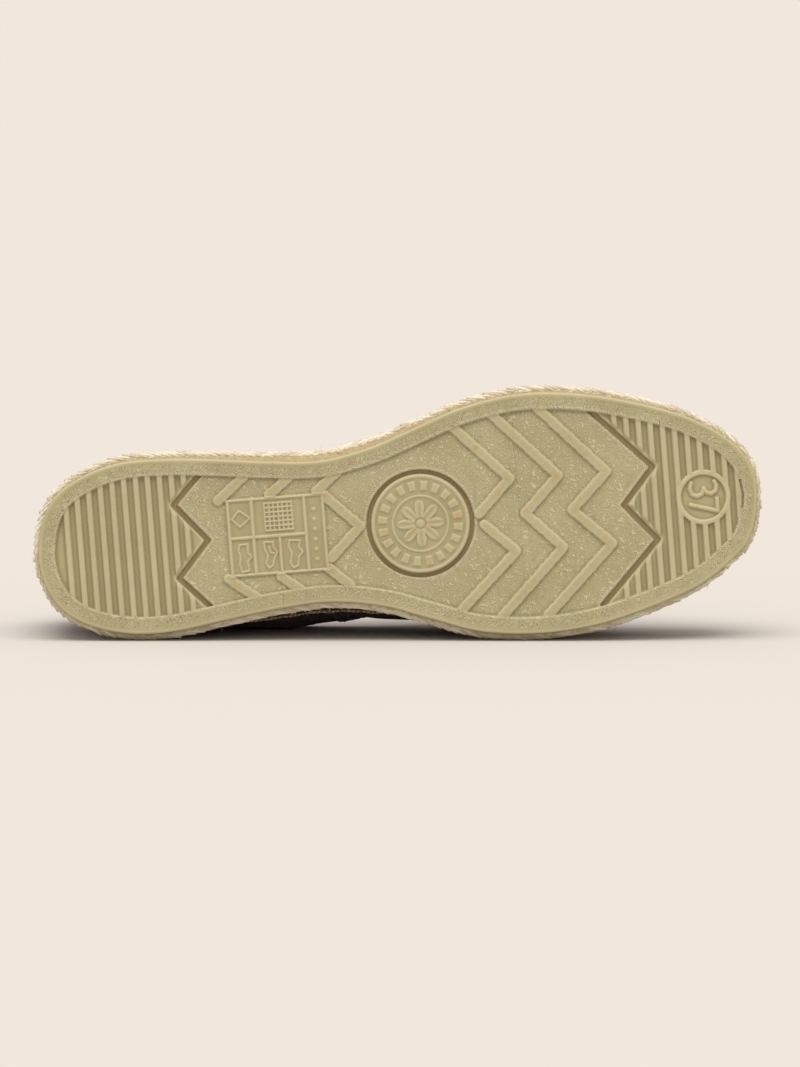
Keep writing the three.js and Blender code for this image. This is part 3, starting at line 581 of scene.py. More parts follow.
def tread_relief(points):
    """Depth of the rubber's face below the rim, with the numbers that its material reads."""
    x, y = points.T
    turn = half_turn(x / SOLE_LENGTH)
    sideways = np.minimum(BALL_WIDTH * along_shoe(OUTLINE, 1, turn) - y,
                          y + BALL_WIDTH * along_shoe(OUTLINE, 2, turn))
    beside = (sideways < 12) | (x < 12) | (x > SOLE_LENGTH - 12)
    edge, run = np.full(len(x), 9.0), np.zeros(len(x))
    edge[beside], run[beside] = distance_to(edge_point(np.linspace(0, 2 * np.pi, 401)), points[beside])
    inside_rim = smooth_step(RIM_WIDTH - 0.3, RIM_WIDTH + 0.3, edge)
    middle = smooth_step(-0.3, 0.3, x - x_on(HEEL_GROOVE, y))
    middle *= smooth_step(-0.3, 0.3, x_on(TOE_GROOVE, y) - x)
    waves = 0.06 * np.sin(x * 0.31 + 1.7 * np.sin(y * 0.23)) * np.sin(y * 0.27 + 0.8)
    floor = (GRAIN_FLOOR + waves) * middle + RIB_FLOOR * (1 - middle)

    # Ribs at both ends, kept clear of the grooves and of the toe ring
    heel_gap, toe_gap = (distance_to(groove, points)[0] for groove in (HEEL_GROOVE, TOE_GROOVE))
    groove_gap = np.minimum(heel_gap, toe_gap)
    ring = np.hypot(*(points - RING_CENTRE).T)
    ribs = np.zeros(len(points))
    for first in FIRST_RIBS:
        rib = (x - first) / RIB_PITCH
        gap = np.abs(rib - np.clip(np.round(rib), 0, RIBS - 1)) * RIB_PITCH
        ribs = np.maximum(ribs, plateau(gap, RIB_WIDTH / 2 + 0.08, 0.2))
    ribs *= smooth_step(0.95, 2.2, groove_gap) * (1 - middle) * smooth_step(-0.1, 0.4, ring - RING_RADIUS)
    raised = ribs * 0.94
    crest = np.zeros(len(points))
    for route in BARS:
        gap, along = distance_to(route, points)
        lumps = 0.05 * np.sin(along * 0.9 + route[0, 0]) + 0.05 * np.sin(along * 2.3 + route[0, 1])
        bar = plateau(gap + 1.3 * lumps, BAR_WIDTH / 2 + 0.15, 0.32) * (0.84 + 0.6 * lumps)
        bar += 0.10 * rounded(gap, BAR_WIDTH / 2) - 0.06
        raised = np.maximum(raised, bar)
        crest = np.maximum(crest, 0.45 * smooth_step(0.3, 0.7, bar))
    depth = floor - (floor - RELIEF_DROP * 0.7) * np.clip(raised, 0, 1)

    plate, relief, lines = label_relief(points)
    depth = blended(depth, plate, LABEL_FLOOR)
    depth -= relief * LINE_RISE * np.maximum(plate, smooth_step(0.7, 0.4, lines))
    crest = np.maximum(crest, relief * 0.8 * plate)
    radius, disc, ornament = badge_relief(points)
    depth = blended(depth, disc, BADGE_FLOOR - 0.36 * ornament)
    crest = np.maximum(crest * (1 - disc), ornament * disc * 0.75)

    # Toe ring with the size number
    inner_disc = plateau(ring, RING_RADIUS - 0.3, 0.3)
    band = plateau(np.abs(ring - RING_RADIUS), RING_BAND / 2, 0.3)
    number = rounded(nearest_route(DIGITS, points, ring < RING_RADIUS + 0.5), 0.85, 0.6)
    depth = blended(blended(depth, inner_disc, RING_FLOOR), band, 0.14) - 0.75 * number * inner_disc
    crest = np.maximum.reduce([crest * (1 - inner_disc), band * 0.9, number * inner_disc])
    smooth = np.maximum.reduce([np.clip(raised * 1.6, 0, 1), plate, disc, inner_disc, band])

    # Grooves with a low lip beside them, the slit at the toe, and the rounded outer corner
    moat = plateau(np.abs(radius - BADGE_RADIUS - BADGE_GROOVE / 2), BADGE_GROOVE / 2 - 0.12, 0.2)
    cut = np.maximum(plateau(groove_gap, GROOVE_WIDTH / 2 - 0.1, 0.2) * inside_rim, moat)
    lips = np.maximum.reduce([rounded(gap, 0.45) for gap in (heel_gap - 1.45, toe_gap - 1.45, radius - 18.9)])
    depth = blended(depth - 0.08 * lips * inside_rim * (1 - cut), cut, GROOVE_DEPTH)
    depth = depth * inside_rim + 0.9 * plateau(distance_to(TOE_SLIT, points)[0], 0.3, 0.2)
    bead = 0.03 * rounded(edge - 1.5, 0.4)
    lip = -0.05 * rounded(edge - RIM_WIDTH + 0.55, 0.5)
    corner = EDGE_ROUND - np.sqrt(np.maximum(EDGE_ROUND ** 2 - np.maximum(EDGE_ROUND - edge, 0) ** 2, 0))
    depth = np.maximum(depth, 0) + bead + lip + 0.05 + corner
    values = {
        "grain": inside_rim * middle * (1 - smooth) * (1 - cut),
        # where the material paints shade in the grooves
        "groove": cut,
        # where the material paints a highlight, partly also polish, on the raised parts
        "crest": np.clip(crest, 0, 1) * inside_rim * (1 - cut),
        "rim": (1 - inside_rim) * smooth_step(1.6, 2.2, edge),
        "hatch": run + np.abs(edge - 4.1) * 1.1,
        # where the material paints a highlight along the rim's bead
        "bead": 0.5 * rounded(edge - 0.7, 0.7),
        "hollow": inside_rim * (1 - middle) * (1 - ribs) * (1 - band) * (1 - cut),
    }
    return depth, values


def softened(grid, reach):
    """The grid's mean over a few neighbours, three times over, for finding its edges and nooks."""
    for _ in range(3):
        for axis in (0, 1):
            grid = sum(np.roll(grid, step, axis=axis) for step in range(-reach, reach + 1)) / (2 * reach + 1)
    return grid


def make_tread(material):
    """The rubber sole in three closed lengths that meet inside it: a finely pressed face, a rounded edge, a
    low wall and a flat top."""
    ends = 4 * (1 - np.cos(np.linspace(0, np.pi / 2, 17)))
    ends[0] = 0.01
    stations = np.concatenate([ends, np.linspace(4, SOLE_LENGTH - 4, 850)[1:-1], SOLE_LENGTH - ends[::-1]])
    close = np.array([0, 0.0015, 0.0035, 0.006, 0.009])
    shares = np.concatenate([close, np.linspace(0.012, 0.988, 256), 1 - close[::-1]])
    turn = half_turn(stations / SOLE_LENGTH)
    outer = BALL_WIDTH * along_shoe(OUTLINE, 1, turn)
    inner = -BALL_WIDTH * along_shoe(OUTLINE, 2, turn)
    y = inner[:, None] + (outer - inner)[:, None] * shares
    x = np.repeat(stations[:, None], len(shares), axis=1)
    depth, values = tread_relief(np.stack([x.ravel(), y.ravel()], axis=1))
    cavity = (depth.reshape(x.shape) - softened(depth.reshape(x.shape), 2)).ravel()
    # painted shade: the relief's nooks are made darker
    values["nook_shade"] = np.clip(cavity / 0.22, 0, 1)
    # wear and painted highlight: the relief's edges are made lighter
    values["edge_wear_and_highlight"] = np.clip(-cavity / 0.16, 0, 1)
    face = np.stack([x, y, depth.reshape(x.shape) + spring(x)], axis=2)

    # The wall rises at both sides of each station and closes over the top
    walls = []
    for height in (2.2, 3.4, 4.3, RUBBER):
        inset = 0.3 if height == RUBBER else 0
        level = height + spring(stations)
        walls.append([np.column_stack([stations, side, level])[:, None]
                      for side in (outer - inset, inner + inset)])
    loops = np.concatenate([face, *[up for up, _ in walls], *[down for _, down in walls[::-1]]], axis=1)
    around = loops.shape[1]
    parts = []
    cuts = [0, len(stations) // 3, 2 * len(stations) // 3, len(stations) - 1]
    for name, low, high in zip(("rubber_heel", "rubber_waist", "rubber_toe"), cuts, cuts[1:]):
        part = loops[low:high + 1]
        faces = skin(part)[:, ::-1].tolist()
        last = (len(part) - 1) * around
        faces += [list(range(around)), [last + k for k in range(around)][::-1]]
        part_values = {}
        for key, data in values.items():
            grid = np.zeros(part.shape[:2])
            grid[:, :len(shares)] = data.reshape(x.shape)[low:high + 1]
            part_values[key] = grid.ravel()
        parts.append(make_mesh(name, place(part.reshape(-1, 3)), faces, material, part_values))
    return parts


def rope_offset(height):
    """How far the rope's side stands out from the rubber's edge at a height over the rope's underside."""
    course = ROPE / COURSES
    level = np.clip(height / course, 0, COURSES - 1e-6)
    swell = np.interp(level % 1 * 5, [0, 1, 2, 3, 4, 5], [0, 0.62, 0.95, 0.95, 0.62, 0])
    return ROPE_BULGE * (swell - 1) - ROPE_TAPER * height / ROPE


def skin(rings, closed=True):
    """Quads between rings of equal count, lowest first."""
    count = rings.shape[1]
    faces = []
    for low in range(rings.shape[0] - 1):
        a = low * count + np.arange(count)
        b = low * count + (np.arange(count) + 1) % count
        if not closed:
            a, b = a[:-1], b[:-1]
        faces.append(np.stack([a, b, b + count, a + count], axis=1))
    return np.concatenate(faces)


def strips(first, count):
    """Quads across a closed ring whose first point is the heel end and whose middle one is the toe end."""
    return [(first + k, first + k + 1, first + count - k - 1, first + (count - k) % count)
            for k in range(count // 2)]


def solid_faces(rings):
    """Faces round and across rings that start at the heel end and are closed below and above."""
    count = rings.shape[1]
    below = [face[::-1] for face in strips(0, count)]
    return skin(rings).tolist() + below + strips(count * (len(rings) - 1), count)


def rope_skin(inset, heights, count):
    """Rings of the rope's side, lowest first, drawn in by an inset."""
    angles = np.linspace(0, 2 * np.pi, count, endpoint=False)
    return np.array([level_ring(angles, overhang(angles) + rope_offset(height) - inset, RUBBER + GAP + height)
                     for height in heights])


def make_rope_core(material):
    rings = rope_skin(1.15, (0, 1.2, 2.8, 4.6, 6.2, 7.2, 8.2, 10, 11.8, 13.2, ROPE), 480)
    points = rings.reshape(-1, 3)
    values = {key: np.zeros(len(points)) for key in ("strand", "tone", "around", "along")}
    return make_mesh("rope_core", place(points), solid_faces(rings), material, values)


def open_tree(name, sizes):
    """A tree with a geometry input, named sizes, and a geometry output."""
    tree = bpy.data.node_groups.new(name, "GeometryNodeTree")
    face = tree.interface
    face.new_socket("Geometry", in_out="INPUT", socket_type="NodeSocketGeometry")
    for key, value in sizes.items():
        kind = "NodeSocketInt" if isinstance(value, int) else "NodeSocketFloat"
        face.new_socket(key, in_out="INPUT", socket_type=kind).default_value = value
    face.new_socket("Geometry", in_out="OUTPUT", socket_type="NodeSocketGeometry")
    sockets = tree.nodes.new("NodeGroupInput").outputs
    return tree, {socket.name: Signal(socket) for socket in sockets if socket.name}


def chance(given, low, high, step, kind="FLOAT"):
    """A random number, or a random vector, that differs from item to item."""
    seed = given["Seed"] + float(step)
    first, last, out = (0, 1, 0) if kind == "FLOAT_VECTOR" else (2, 3, 1)
    inputs = {first: low, last: high, "Seed": seed}
    return node(seed.tree, "FunctionNodeRandomValue", inputs, out, data_type=kind)


def stored(geometry, name, value, kind="FLOAT", domain="POINT"):
    return node(geometry.tree, "GeometryNodeStoreNamedAttribute",
                {"Geometry": geometry, "Name": name, "Value": value}, data_type=kind, domain=domain)


def bent(facing, axis, angle):
    """A rotation turned further, about one of its own axes."""
    turn = node(facing.tree, "FunctionNodeAxisAngleToRotation", {"Axis": axis, "Angle": angle})
    return node(facing.tree, "FunctionNodeRotateRotation", {"Rotation": facing, "Rotate By": turn},
                rotation_space="LOCAL")


def close_tree(given, points, line, ring, facing, scale, material):
    """Lays a tube on each point, gives each its own shade, makes them real, and dresses them."""
    tree = points.tree
    body = node(tree, "GeometryNodeCurveToMesh", {"Curve": line, "Profile Curve": ring, "Fill Caps": True})
    laid = node(tree, "GeometryNodeInstanceOnPoints",
                {"Points": points, "Instance": body, "Rotation": facing, "Scale": scale})
    for step, key in ((6, "tone"), (7, "strand")):
        laid = stored(laid, key, chance(given, 0.0, 1.0, step), domain="INSTANCE")
    whole = node(tree, "GeometryNodeRealizeInstances", {"Geometry": laid})
    whole = node(tree, "GeometryNodeSetShadeSmooth", {"Geometry": whole})
    dressed = node(tree, "GeometryNodeSetMaterial", {"Geometry": whole, "Material": material})
    node(tree, "NodeGroupOutput", {"Geometry": dressed})
    return tree


def guide(name, points, outs, closed=True):
    """A line of placed points with the direction that faces out of the shoe at each, for a tree to follow."""
    count = len(points)
    mesh = bpy.data.meshes.new(name)
    edges = [(k, (k + 1) % count) for k in range(count if closed else count - 1)]
    mesh.from_pydata(place(points).tolist(), edges, [])
    layer = mesh.attributes.new("out", "FLOAT_VECTOR", "POINT")
    layer.data.foreach_set("vector", turned(outs).astype(np.float32).ravel())
    return linked(name, mesh)


def strand_tree(name, sizes, material):
    """Strands laid one after another along a guide line, each turned a little in the surface it lies on."""
    tree, given = open_tree(name, sizes)
    curve = node(tree, "GeometryNodeMeshToCurve", {"Mesh": given["Geometry"]})
    spaced = node(tree, "GeometryNodeResampleCurve",
                  {"Curve": curve, "Length": given["Pitch"]}, mode="LENGTH")
    kept = stored(spaced, "ahead", node(tree, "GeometryNodeInputTangent"), "FLOAT_VECTOR")
    points = node(tree, "GeometryNodeCurveToPoints", {"Curve": kept}, mode="EVALUATED")
    ahead, out = (node(tree, "GeometryNodeInputNamedAttribute", {"Name": key}, data_type="FLOAT_VECTOR")
                  for key in ("ahead", "out"))
    facing = node(tree, "FunctionNodeAlignRotationToVector", {"Vector": ahead}, axis="X")
    facing = node(tree, "FunctionNodeAlignRotationToVector", {"Rotation": facing, "Vector": out},
                  axis="Z", pivot_axis="X")
    facing = bent(facing, (0, 0, 1), given["Slant"] + given["Unevenness"] * chance(given, -1.0, 1.0, 1))
    facing = bent(facing, (0, 1, 0), given["Unevenness"] * chance(given, -0.5, 0.5, 2))

    # One strand: a line that swells in the middle, flattened against the surface, with its ends sunk in
    half = given["Length"] * 0.5
    line = node(tree, "GeometryNodeCurvePrimitiveLine",
                {"Start": vector(tree, half * -1.0), "End": vector(tree, half)})
    line = node(tree, "GeometryNodeResampleCurve", {"Curve": line, "Count": given["Rings"]}, mode="COUNT")
    share = node(tree, "GeometryNodeSplineParameter", out="Factor")
    bow = (share * math.pi).maths("SINE")
    sag = vector(tree, z=bow.maths("SUBTRACT", 1.0) * given["Sink"])
    line = node(tree, "GeometryNodeSetPosition", {"Geometry": line, "Offset": sag})
    swell = bow.maths("POWER", 0.6).maths("MULTIPLY_ADD", 0.82, 0.18)
    line = stored(node(tree, "GeometryNodeSetCurveRadius", {"Curve": line, "Radius": swell}), "along", share)
    ring = node(tree, "GeometryNodeCurvePrimitiveCircle", {"Resolution": given["Sides"], "Radius": 1.0})
    shape = vector(tree, given["Thickness"] * 0.5, given["Width"] * 0.5, 1.0)
    ring = node(tree, "GeometryNodeTransform", {"Geometry": stored(ring, "around", share), "Scale": shape})
    scale = vector(tree, *(chance(given, low, high, step) for low, high, step in (
        (0.92, 1.12, 3), (0.85, 1.12, 4), (0.85, 1.05, 5))))
    return close_tree(given, points, line, ring, facing, scale, material)


def fuzz_tree(name, sizes, material):
    """Loose bent fibres that stand off a surface every way."""
    tree, given = open_tree(name, sizes)
    spread = tree.nodes.new("GeometryNodeDistributePointsOnFaces")
    feed(spread, {"Mesh": given["Geometry"], "Density": given["Density"], "Seed": given["Seed"]})
    points, normal = Signal(spread.outputs["Points"]), Signal(spread.outputs["Normal"])
    stray = chance(given, (-1.1, -1.1, -1.1), (1.1, 1.1, 1.1), 1, "FLOAT_VECTOR")
    way = node(tree, "ShaderNodeVectorMath", {0: normal, 1: stray}, operation="ADD")
    facing = node(tree, "FunctionNodeAlignRotationToVector", {"Vector": way}, axis="Z")
    facing = bent(facing, (0, 0, 1), chance(given, 0.0, 6.28, 2))
    tip = vector(tree, given["Length"] * 0.75, z=given["Length"] * 0.55)
    knee = vector(tree, z=given["Length"] * 0.6)
    hair = node(tree, "GeometryNodeCurveQuadraticBezier",
                {"Resolution": 4, "Start": (0, 0, -0.0003), "Middle": knee, "End": tip})
    ring = node(tree, "GeometryNodeCurvePrimitiveCircle", {"Resolution": 3, "Radius": given["Radius"]})
    return close_tree(given, points, hair, ring, facing, chance(given, 0.35, 1.3, 3), material)


def grow(name, guides, tree, changes, material):
    """Runs a tree on each guide line and joins what it makes into one plain mesh object."""
    for line, change in zip(guides, changes):
        modifier = line.modifiers.new("Strands", "NODES")
        modifier.node_group = tree
        for item in tree.interface.items_tree:
            if item.item_type == "SOCKET" and item.in_out == "INPUT" and item.name in change:
                modifier[item.identifier] = change[item.name]
    graph = bpy.context.evaluated_depsgraph_get()
    meshes = [bpy.data.meshes.new_from_object(line.evaluated_get(graph)) for line in guides]
    for line in guides:
        bpy.data.objects.remove(line)
    points, faces, values = [], [], {key: [] for key in ("along", "around", "tone", "strand")}
    total = 0
    for mesh in meshes:
        count = len(mesh.vertices)
        co = np.empty(count * 3, np.float32)
        mesh.vertices.foreach_get("co", co)
        points.append(co.reshape(-1, 3))
        faces += [[v + total for v in face.vertices] for face in mesh.polygons]
        for key, found in values.items():
            data = np.zeros(count, np.float32)
            if key in mesh.attributes and mesh.attributes[key].domain == "POINT":
                mesh.attributes[key].data.foreach_get("value", data)
            found.append(data)
        total += count
    points = np.concatenate(points)
    points[:, 2] = np.maximum(points[:, 2], 0)
    values = {key: np.concatenate(found) for key, found in values.items()}
    return make_mesh(name, points, faces, material, values)


# Rows of strands on the rope: height over its underside, how far the row sits out from the rubber's edge to
# the rope's fullest line (share) and in from there (millimetres), how far it faces out of the level (degrees,
# positive down to the ground), the slant of its strands in degrees, and the strands' length and width
BRAID_ROWS = [
    (0.3, 0.16, 0.0, 84, 12, 6.6, 1.35), (0.4, 0.58, 0.2, 66, -14, 6.4, 1.5), (0.95, 1, 0.75, 40, 20, 6, 1.8),
    (2.3, 1, 0.7, 14, -30, 5.6, 2.1), (4.3, 1, 0.7, -8, 34, 5.4, 2.2), (6.2, 1, 0.9, -36, -28, 5.4, 2),
    (8.2, 1, 0.9, 34, 28, 5.4, 2), (10, 1, 0.7, 6, -34, 5.4, 2.2), (12, 1, 0.8, -18, 30, 5.4, 2.2),
    (13.6, 1, 1.1, -58, -20, 6, 2),
]


def make_braid(material):
    angles = np.linspace(0, 2 * np.pi, 600, endpoint=False)
    step = np.pi / 200
    guides, changes = [], []
    for row, (height, share, sunk, lean, slant, length, width) in enumerate(BRAID_ROWS):
        lean = math.radians(lean)
        full = overhang(angles) + rope_offset(max(height, 1.4))
        offset = full * share - sunk + (0.35 if share < 1 else 0)
        row_points = level_ring(angles, offset, RUBBER + GAP + height + 0.5 * math.sin(lean))
        run = edge_offset(angles + step, 2.0) - edge_offset(angles - step, 2.0)
        run /= np.linalg.norm(run, axis=1, keepdims=True)
        outs = np.column_stack([-run[:, 1] * math.cos(lean), run[:, 0] * math.cos(lean),
                                np.full(len(angles), -math.sin(lean))])
        guides.append(guide(f"braid_row_{row}", row_points, outs))
        changes.append({"Slant": math.radians(slant), "Seed": 11 + row, "Length": length / 1000,
                        "Width": width / 1000})
    sizes = {"Pitch": 0.0027, "Length": 0.006, "Width": 0.002, "Thickness": 0.0014, "Sink": 0.0006,
             "Slant": 0.6, "Unevenness": 0.10, "Rings": 6, "Sides": 6, "Seed": 11}
    return grow("rope_braid", guides, strand_tree("BraidStrands", sizes, material), changes, material)


def make_fuzz(material):
    rings = rope_skin(0.7, (0.1, 0.8, 2.2, 4.4, 6.4, 7.2, 8.4, 10.5, 12.6, 13.9), 240)
    ledge = rope_skin(0, (0.1,), 240)[0]
    ledge[:, :2] = edge_offset(np.linspace(0, 2 * np.pi, 240, endpoint=False), 0.5)
    rings = np.concatenate([ledge[None], rings])
    emitter = make_mesh("fuzz_ground", place(rings.reshape(-1, 3)), skin(rings).tolist())
    sizes = {"Density": 300000.0, "Length": 0.0034, "Radius": 0.00006, "Seed": 5}
    return grow("rope_fuzz", [emitter], fuzz_tree("RopeFuzz", sizes, material), [{}], material)


# Main creases of the empty upper: each runs from a place to a place, given as x from the heel and the way up
# the cloth from the feather line (outer side positive, inner side negative), with its width and depth
CREASE_DEPTH = 1.5
CREASES = [
    (150, 34, 172, 18, 3.4, 1.1), (158, 46, 184, 30, 3.0, 0.9), (176, 12, 190, 30, 2.6, 0.7),
    (148, -30, 170, -16, 3.4, 1.0), (160, -44, 186, -30, 3.0, 0.9), (182, -10, 196, -26, 2.6, 0.6),
    (100, 14, 122, 34, 4.2, 1.2), (112, -12, 130, -36, 4.2, 1.3), (84, -14, 104, -34, 4.5, 1.2),
    (36, 12, 52, 34, 4.2, 0.9), (30, -16, 50, -40, 4.6, 1.4), (60, -10, 72, -30, 4.0, 1.0),
    (14, 22, 30, 14, 3.2, 0.8), (12, -24, 28, -14, 3.2, 0.8), (200, 20, 214, 8, 2.4, 0.5),
    (202, -20, 216, -8, 2.4, 0.5), (132, 22, 146, 48, 4.0, 0.9), (136, -24, 148, -46, 4.0, 0.9),
]

# The cloth's grid: columns from the heel by the outer side to the toe and back, and rises tried on each
HALF_ROUND = 300
COLUMNS = np.pi * np.arange(2 * HALF_ROUND) / HALF_ROUND
SIDES = (np.arange(0, HALF_ROUND), np.arange(2 * HALF_ROUND - 1, HALF_ROUND, -1))
RISES = np.linspace(0, 2, 321)
ROLL_ANGLES = np.radians([35, 90, 145])


def lengths_along(points):
    """How far along its line each point lies."""
    steps = np.linalg.norm(np.diff(points, axis=-2), axis=-1)
    return np.concatenate([np.zeros((*steps.shape[:-1], 1)), np.cumsum(steps, axis=-1)], axis=-1)


def collar_rises(line):
    """For each column the rise at which it meets the collar's edge, whether it does so before the ridge, and
    its length up to each of RISES."""
    columns = last_point(COLUMNS[:, None], RISES[None, :], 0)
    over = columns[..., 2] - np.interp(columns[..., 0], line[:, 0], line[:, 1], right=1e4)
    cut = (over > 0).any(axis=1)
    rises = np.full(len(COLUMNS), 2.0)
    for k in np.nonzero(cut)[0]:
        j = np.argmax(over[k] > 0)
        t = over[k, j - 1] / (over[k, j - 1] - over[k, j])
        rises[k] = RISES[j - 1] + t * (RISES[j] - RISES[j - 1])
    return rises, cut, lengths_along(columns)


def outside_rises(rises, lengths, full):
    """The rises of the outside's rows: even ones, a close group at the hem's step, and the hem."""
    grid = []
    for row, reach in zip(lengths, full):
        hem = min(HEM_WIDTH, 0.3 * reach)
        step = reach - hem + np.array([-0.2, 0.1, 0.5]) * hem / HEM_WIDTH
        even = np.linspace(0, reach - hem - 0.5, 64)
        places = np.concatenate([even, step, reach - hem + np.linspace(1.0, hem, 8)])
        grid.append(np.interp(places, row, RISES))
    grid = np.array(grid)
    grid[:, -1] = rises
    return grid


def crease_depths(outside, up):
    """How far the creases press the cloth in, from the table above."""
    inner = outside[..., 1] < np.interp(outside[..., 0], [0, SOLE_LENGTH], [0, -4])
    flat = np.stack([outside[..., 0], np.where(inner, -1, 1) * up], axis=-1).reshape(-1, 2)
    creases = np.zeros(len(flat))
    for x0, s0, x1, s1, width, depth in CREASES:
        a, b = np.array([x0, s0], float), np.array([x1, s1], float)
        gap, along = distance_to(np.array([a, (a + b) / 2 + np.array([0, 1.5]), b]), flat)
        fade = np.sin(np.pi * np.clip(along / np.hypot(*(b - a)), 0, 1)) ** 0.6
        beside = 0.55 * np.exp(-((gap - 2.1 * width) / (1.2 * width)) ** 2)
        creases += CREASE_DEPTH * depth * ((np.exp(-(gap / width) ** 2) - beside) * fade)
    return creases.reshape(up.shape)


def canvas_shell(material):
    """The upper's cloth as one closed skin: outside, a turned edge, and the lining inside."""
    line = collar_line()
    rises, cut, lengths = collar_rises(line)
    full = np.array([np.interp(rise, RISES, row) for rise, row in zip(rises, lengths)])
    outside = last_point(COLUMNS[:, None], outside_rises(rises, lengths, full), 0)
    inside = last_point(COLUMNS[:, None], rises[:, None] * np.linspace(0, 1, 26), WALL)
    run = lengths_along(edge_offset(COLUMNS, FEATHER_OFFSET))
    up = lengths_along(outside)

    # Outward directions of the outside, for the laps, hem and creases
    ahead = np.roll(outside, -1, axis=0) - np.roll(outside, 1, axis=0)
    outward = np.cross(np.gradient(outside, axis=1), ahead)
    outward = outward / np.maximum(np.linalg.norm(outward, axis=2, keepdims=True), 1e-9)
    outward[:, -1][~cut] = (0, 0, 1)

    from_edge = distance_to(line, outside[..., [0, 2]].reshape(-1, 2))[0].reshape(up.shape)
    hem = smooth_step(HEM_WIDTH + 0.4, HEM_WIDTH - 0.4, from_edge)
    height_up = np.clip((outside[..., 2] - FOOTBED) / HEEL_HEIGHT, 0, 1)
    seam_x = (SEAM_FOOT + SEAM_LEAN * height_up) * SOLE_LENGTH
    lap = smooth_step(-0.4, 0.4, outside[..., 0] - seam_x)
    dent = 0.25 * rounded(from_edge - HEM_WIDTH - 0.5, 0.6) * (from_edge < HEM_WIDTH + 1.5)
    lifts = LAP_STEP * np.maximum(hem, lap) - dent

    # Puckers where the cloth is drawn down to the rope, strongest round the toe
    toe_share = smooth_step(0.55, 0.9, outside[..., 0] / SOLE_LENGTH)
    low = np.exp(-(up / 9.0) ** 2) * smooth_step(0, 2.0, up)
    pucker = np.sin(run[:, None] * 2 * np.pi / 6.4 + 0.8 * np.sin(run[:, None] * 0.21))
    lifts = lifts + 0.30 * pucker * low * (0.35 + 0.65 * toe_share)
    creases = crease_depths(outside, up) * smooth_step(0, 9, np.where(cut[:, None], 99, full[:, None] - up))
    calm = smooth_step(0, 6, from_edge) * 0.65 + 0.35
    outside = outside + outward * (lifts - creases * calm)[..., None]

    # Both skins, the turned edge between them, and the tuck at the foot
    rows, count = outside.shape[1], len(COLUMNS)
    middle, thick = (outside[:, -1] + inside[:, -1]) / 2, (outside[:, -1] - inside[:, -1]) / 2
    rise_way = outside[:, -1] - outside[:, -3]
    rise_way /= np.maximum(np.linalg.norm(rise_way, axis=1, keepdims=True), 1e-9)
    roll = [middle + thick * math.cos(turn) + rise_way * 0.75 * math.sin(turn) for turn in ROLL_ANGLES]
    layers = np.concatenate([outside.transpose(1, 0, 2), roll, inside.transpose(1, 0, 2)[::-1]])
    faces = []
    for layer in range(len(layers)):
        upper = (layer + 1) % len(layers)
        rolling = rows - 1 <= layer < rows + len(roll)
        for k in range(count):
            n = (k + 1) % count
            if cut[k] or cut[n] or not rolling:
                faces.append((layer * count + k, layer * count + n, upper * count + n, upper * count + k))

    # The weave's own places, the same on both sides of the ridge so that it runs on over it
    mirror = (count - np.arange(count)) % count
    perimeter = run[-1] + np.linalg.norm(np.diff(edge_offset(COLUMNS[[-1, 0]], FEATHER_OFFSET), axis=0))
    from_heel = np.where(COLUMNS <= np.pi, run, perimeter - run)
    tall = (full + full[mirror]) / 2
    places = np.zeros(layers.shape)
    places[..., 0] = (from_heel + from_heel[mirror]) / 2
    places[:rows, :, 1] = (up * (tall / full)[:, None]).T
    places[rows:rows + 3, :, 1] = [tall + 0.8 * j for j in range(3)]
    places[rows + 3:, :, 1] = tall + 3 + (tall - np.linspace(0, 1, inside.shape[1])[:, None] * tall)
    rubbed = np.zeros(layers.shape[:2])
    hem_edge = rounded(from_edge - HEM_WIDTH, 0.8) * (from_edge < HEM_WIDTH + 1)
    rubbed[:rows] = np.clip(-creases * 0.8 + 0.5 * hem_edge, 0, 1).T
    rubbed[rows:rows + 3] = 0.6
    piece = make_mesh("canvas_upper", place(layers.reshape(-1, 3)), faces, material,
                      {"cloth": places.reshape(-1, 3), "crease": rubbed.ravel()})
    merge(piece, 0.00002)
    return piece, {"points": outside, "outs": outward, "from_edge": from_edge, "up": up,
                   "past_seam": outside[..., 0] - seam_x}


def merge(piece, distance):
    """Joins points that lie together, drops faces without area, and turns every face outward."""
    work = bmesh.new()
    work.from_mesh(piece.data)
    bmesh.ops.remove_doubles(work, verts=work.verts, dist=distance)
    bmesh.ops.dissolve_degenerate(work, edges=work.edges, dist=1e-7)
    bmesh.ops.recalc_face_normals(work, faces=work.faces)
    for face in work.faces:
        face.smooth = True
    work.to_mesh(piece.data)
    work.free()


def crossing(row, last=False):
    """Where a row of numbers passes nought: the place before it and the share of the way on from there."""
    found = np.nonzero(row[:-1] * row[1:] <= 0)[0]
    if not len(found):
        return None
    j = found[-1] if last else found[0]
    return j, row[j] / (row[j] - row[j + 1]) if row[j] != row[j + 1] else 0


def read_cloth(cloth, places):
    """The points and the outward directions at shares of the way between places of the cloth's grid."""
    return [np.array([cloth[key][a] * (1 - t) + cloth[key][b] * t for a, b, t in places])
            for key in ("points", "outs")]


def level_line(cloth, field, value, columns, from_top=True):
    """Places on the cloth where a field takes a value, one for each column that has one."""
    places = []
    for k in columns:
        found = crossing(cloth[field][k] - value, from_top)
        if found:
            j, t = found
            places.append(((k, j), (k, j + 1), t))
    return read_cloth(cloth, places)


def across_line(cloth, field, value, columns):
    """Places on the cloth where a field takes a value, one for each row, read along a run of columns."""
    places = []
    for j in range(4, cloth[field].shape[1] - 1):
        found = crossing(cloth[field][columns, j] - value)
        if found and cloth["from_edge"][columns[found[0]], j] >= 1.2:
            i, t = found
            places.append(((columns[i], j), (columns[i + 1], j), t))
    return read_cloth(cloth, places)


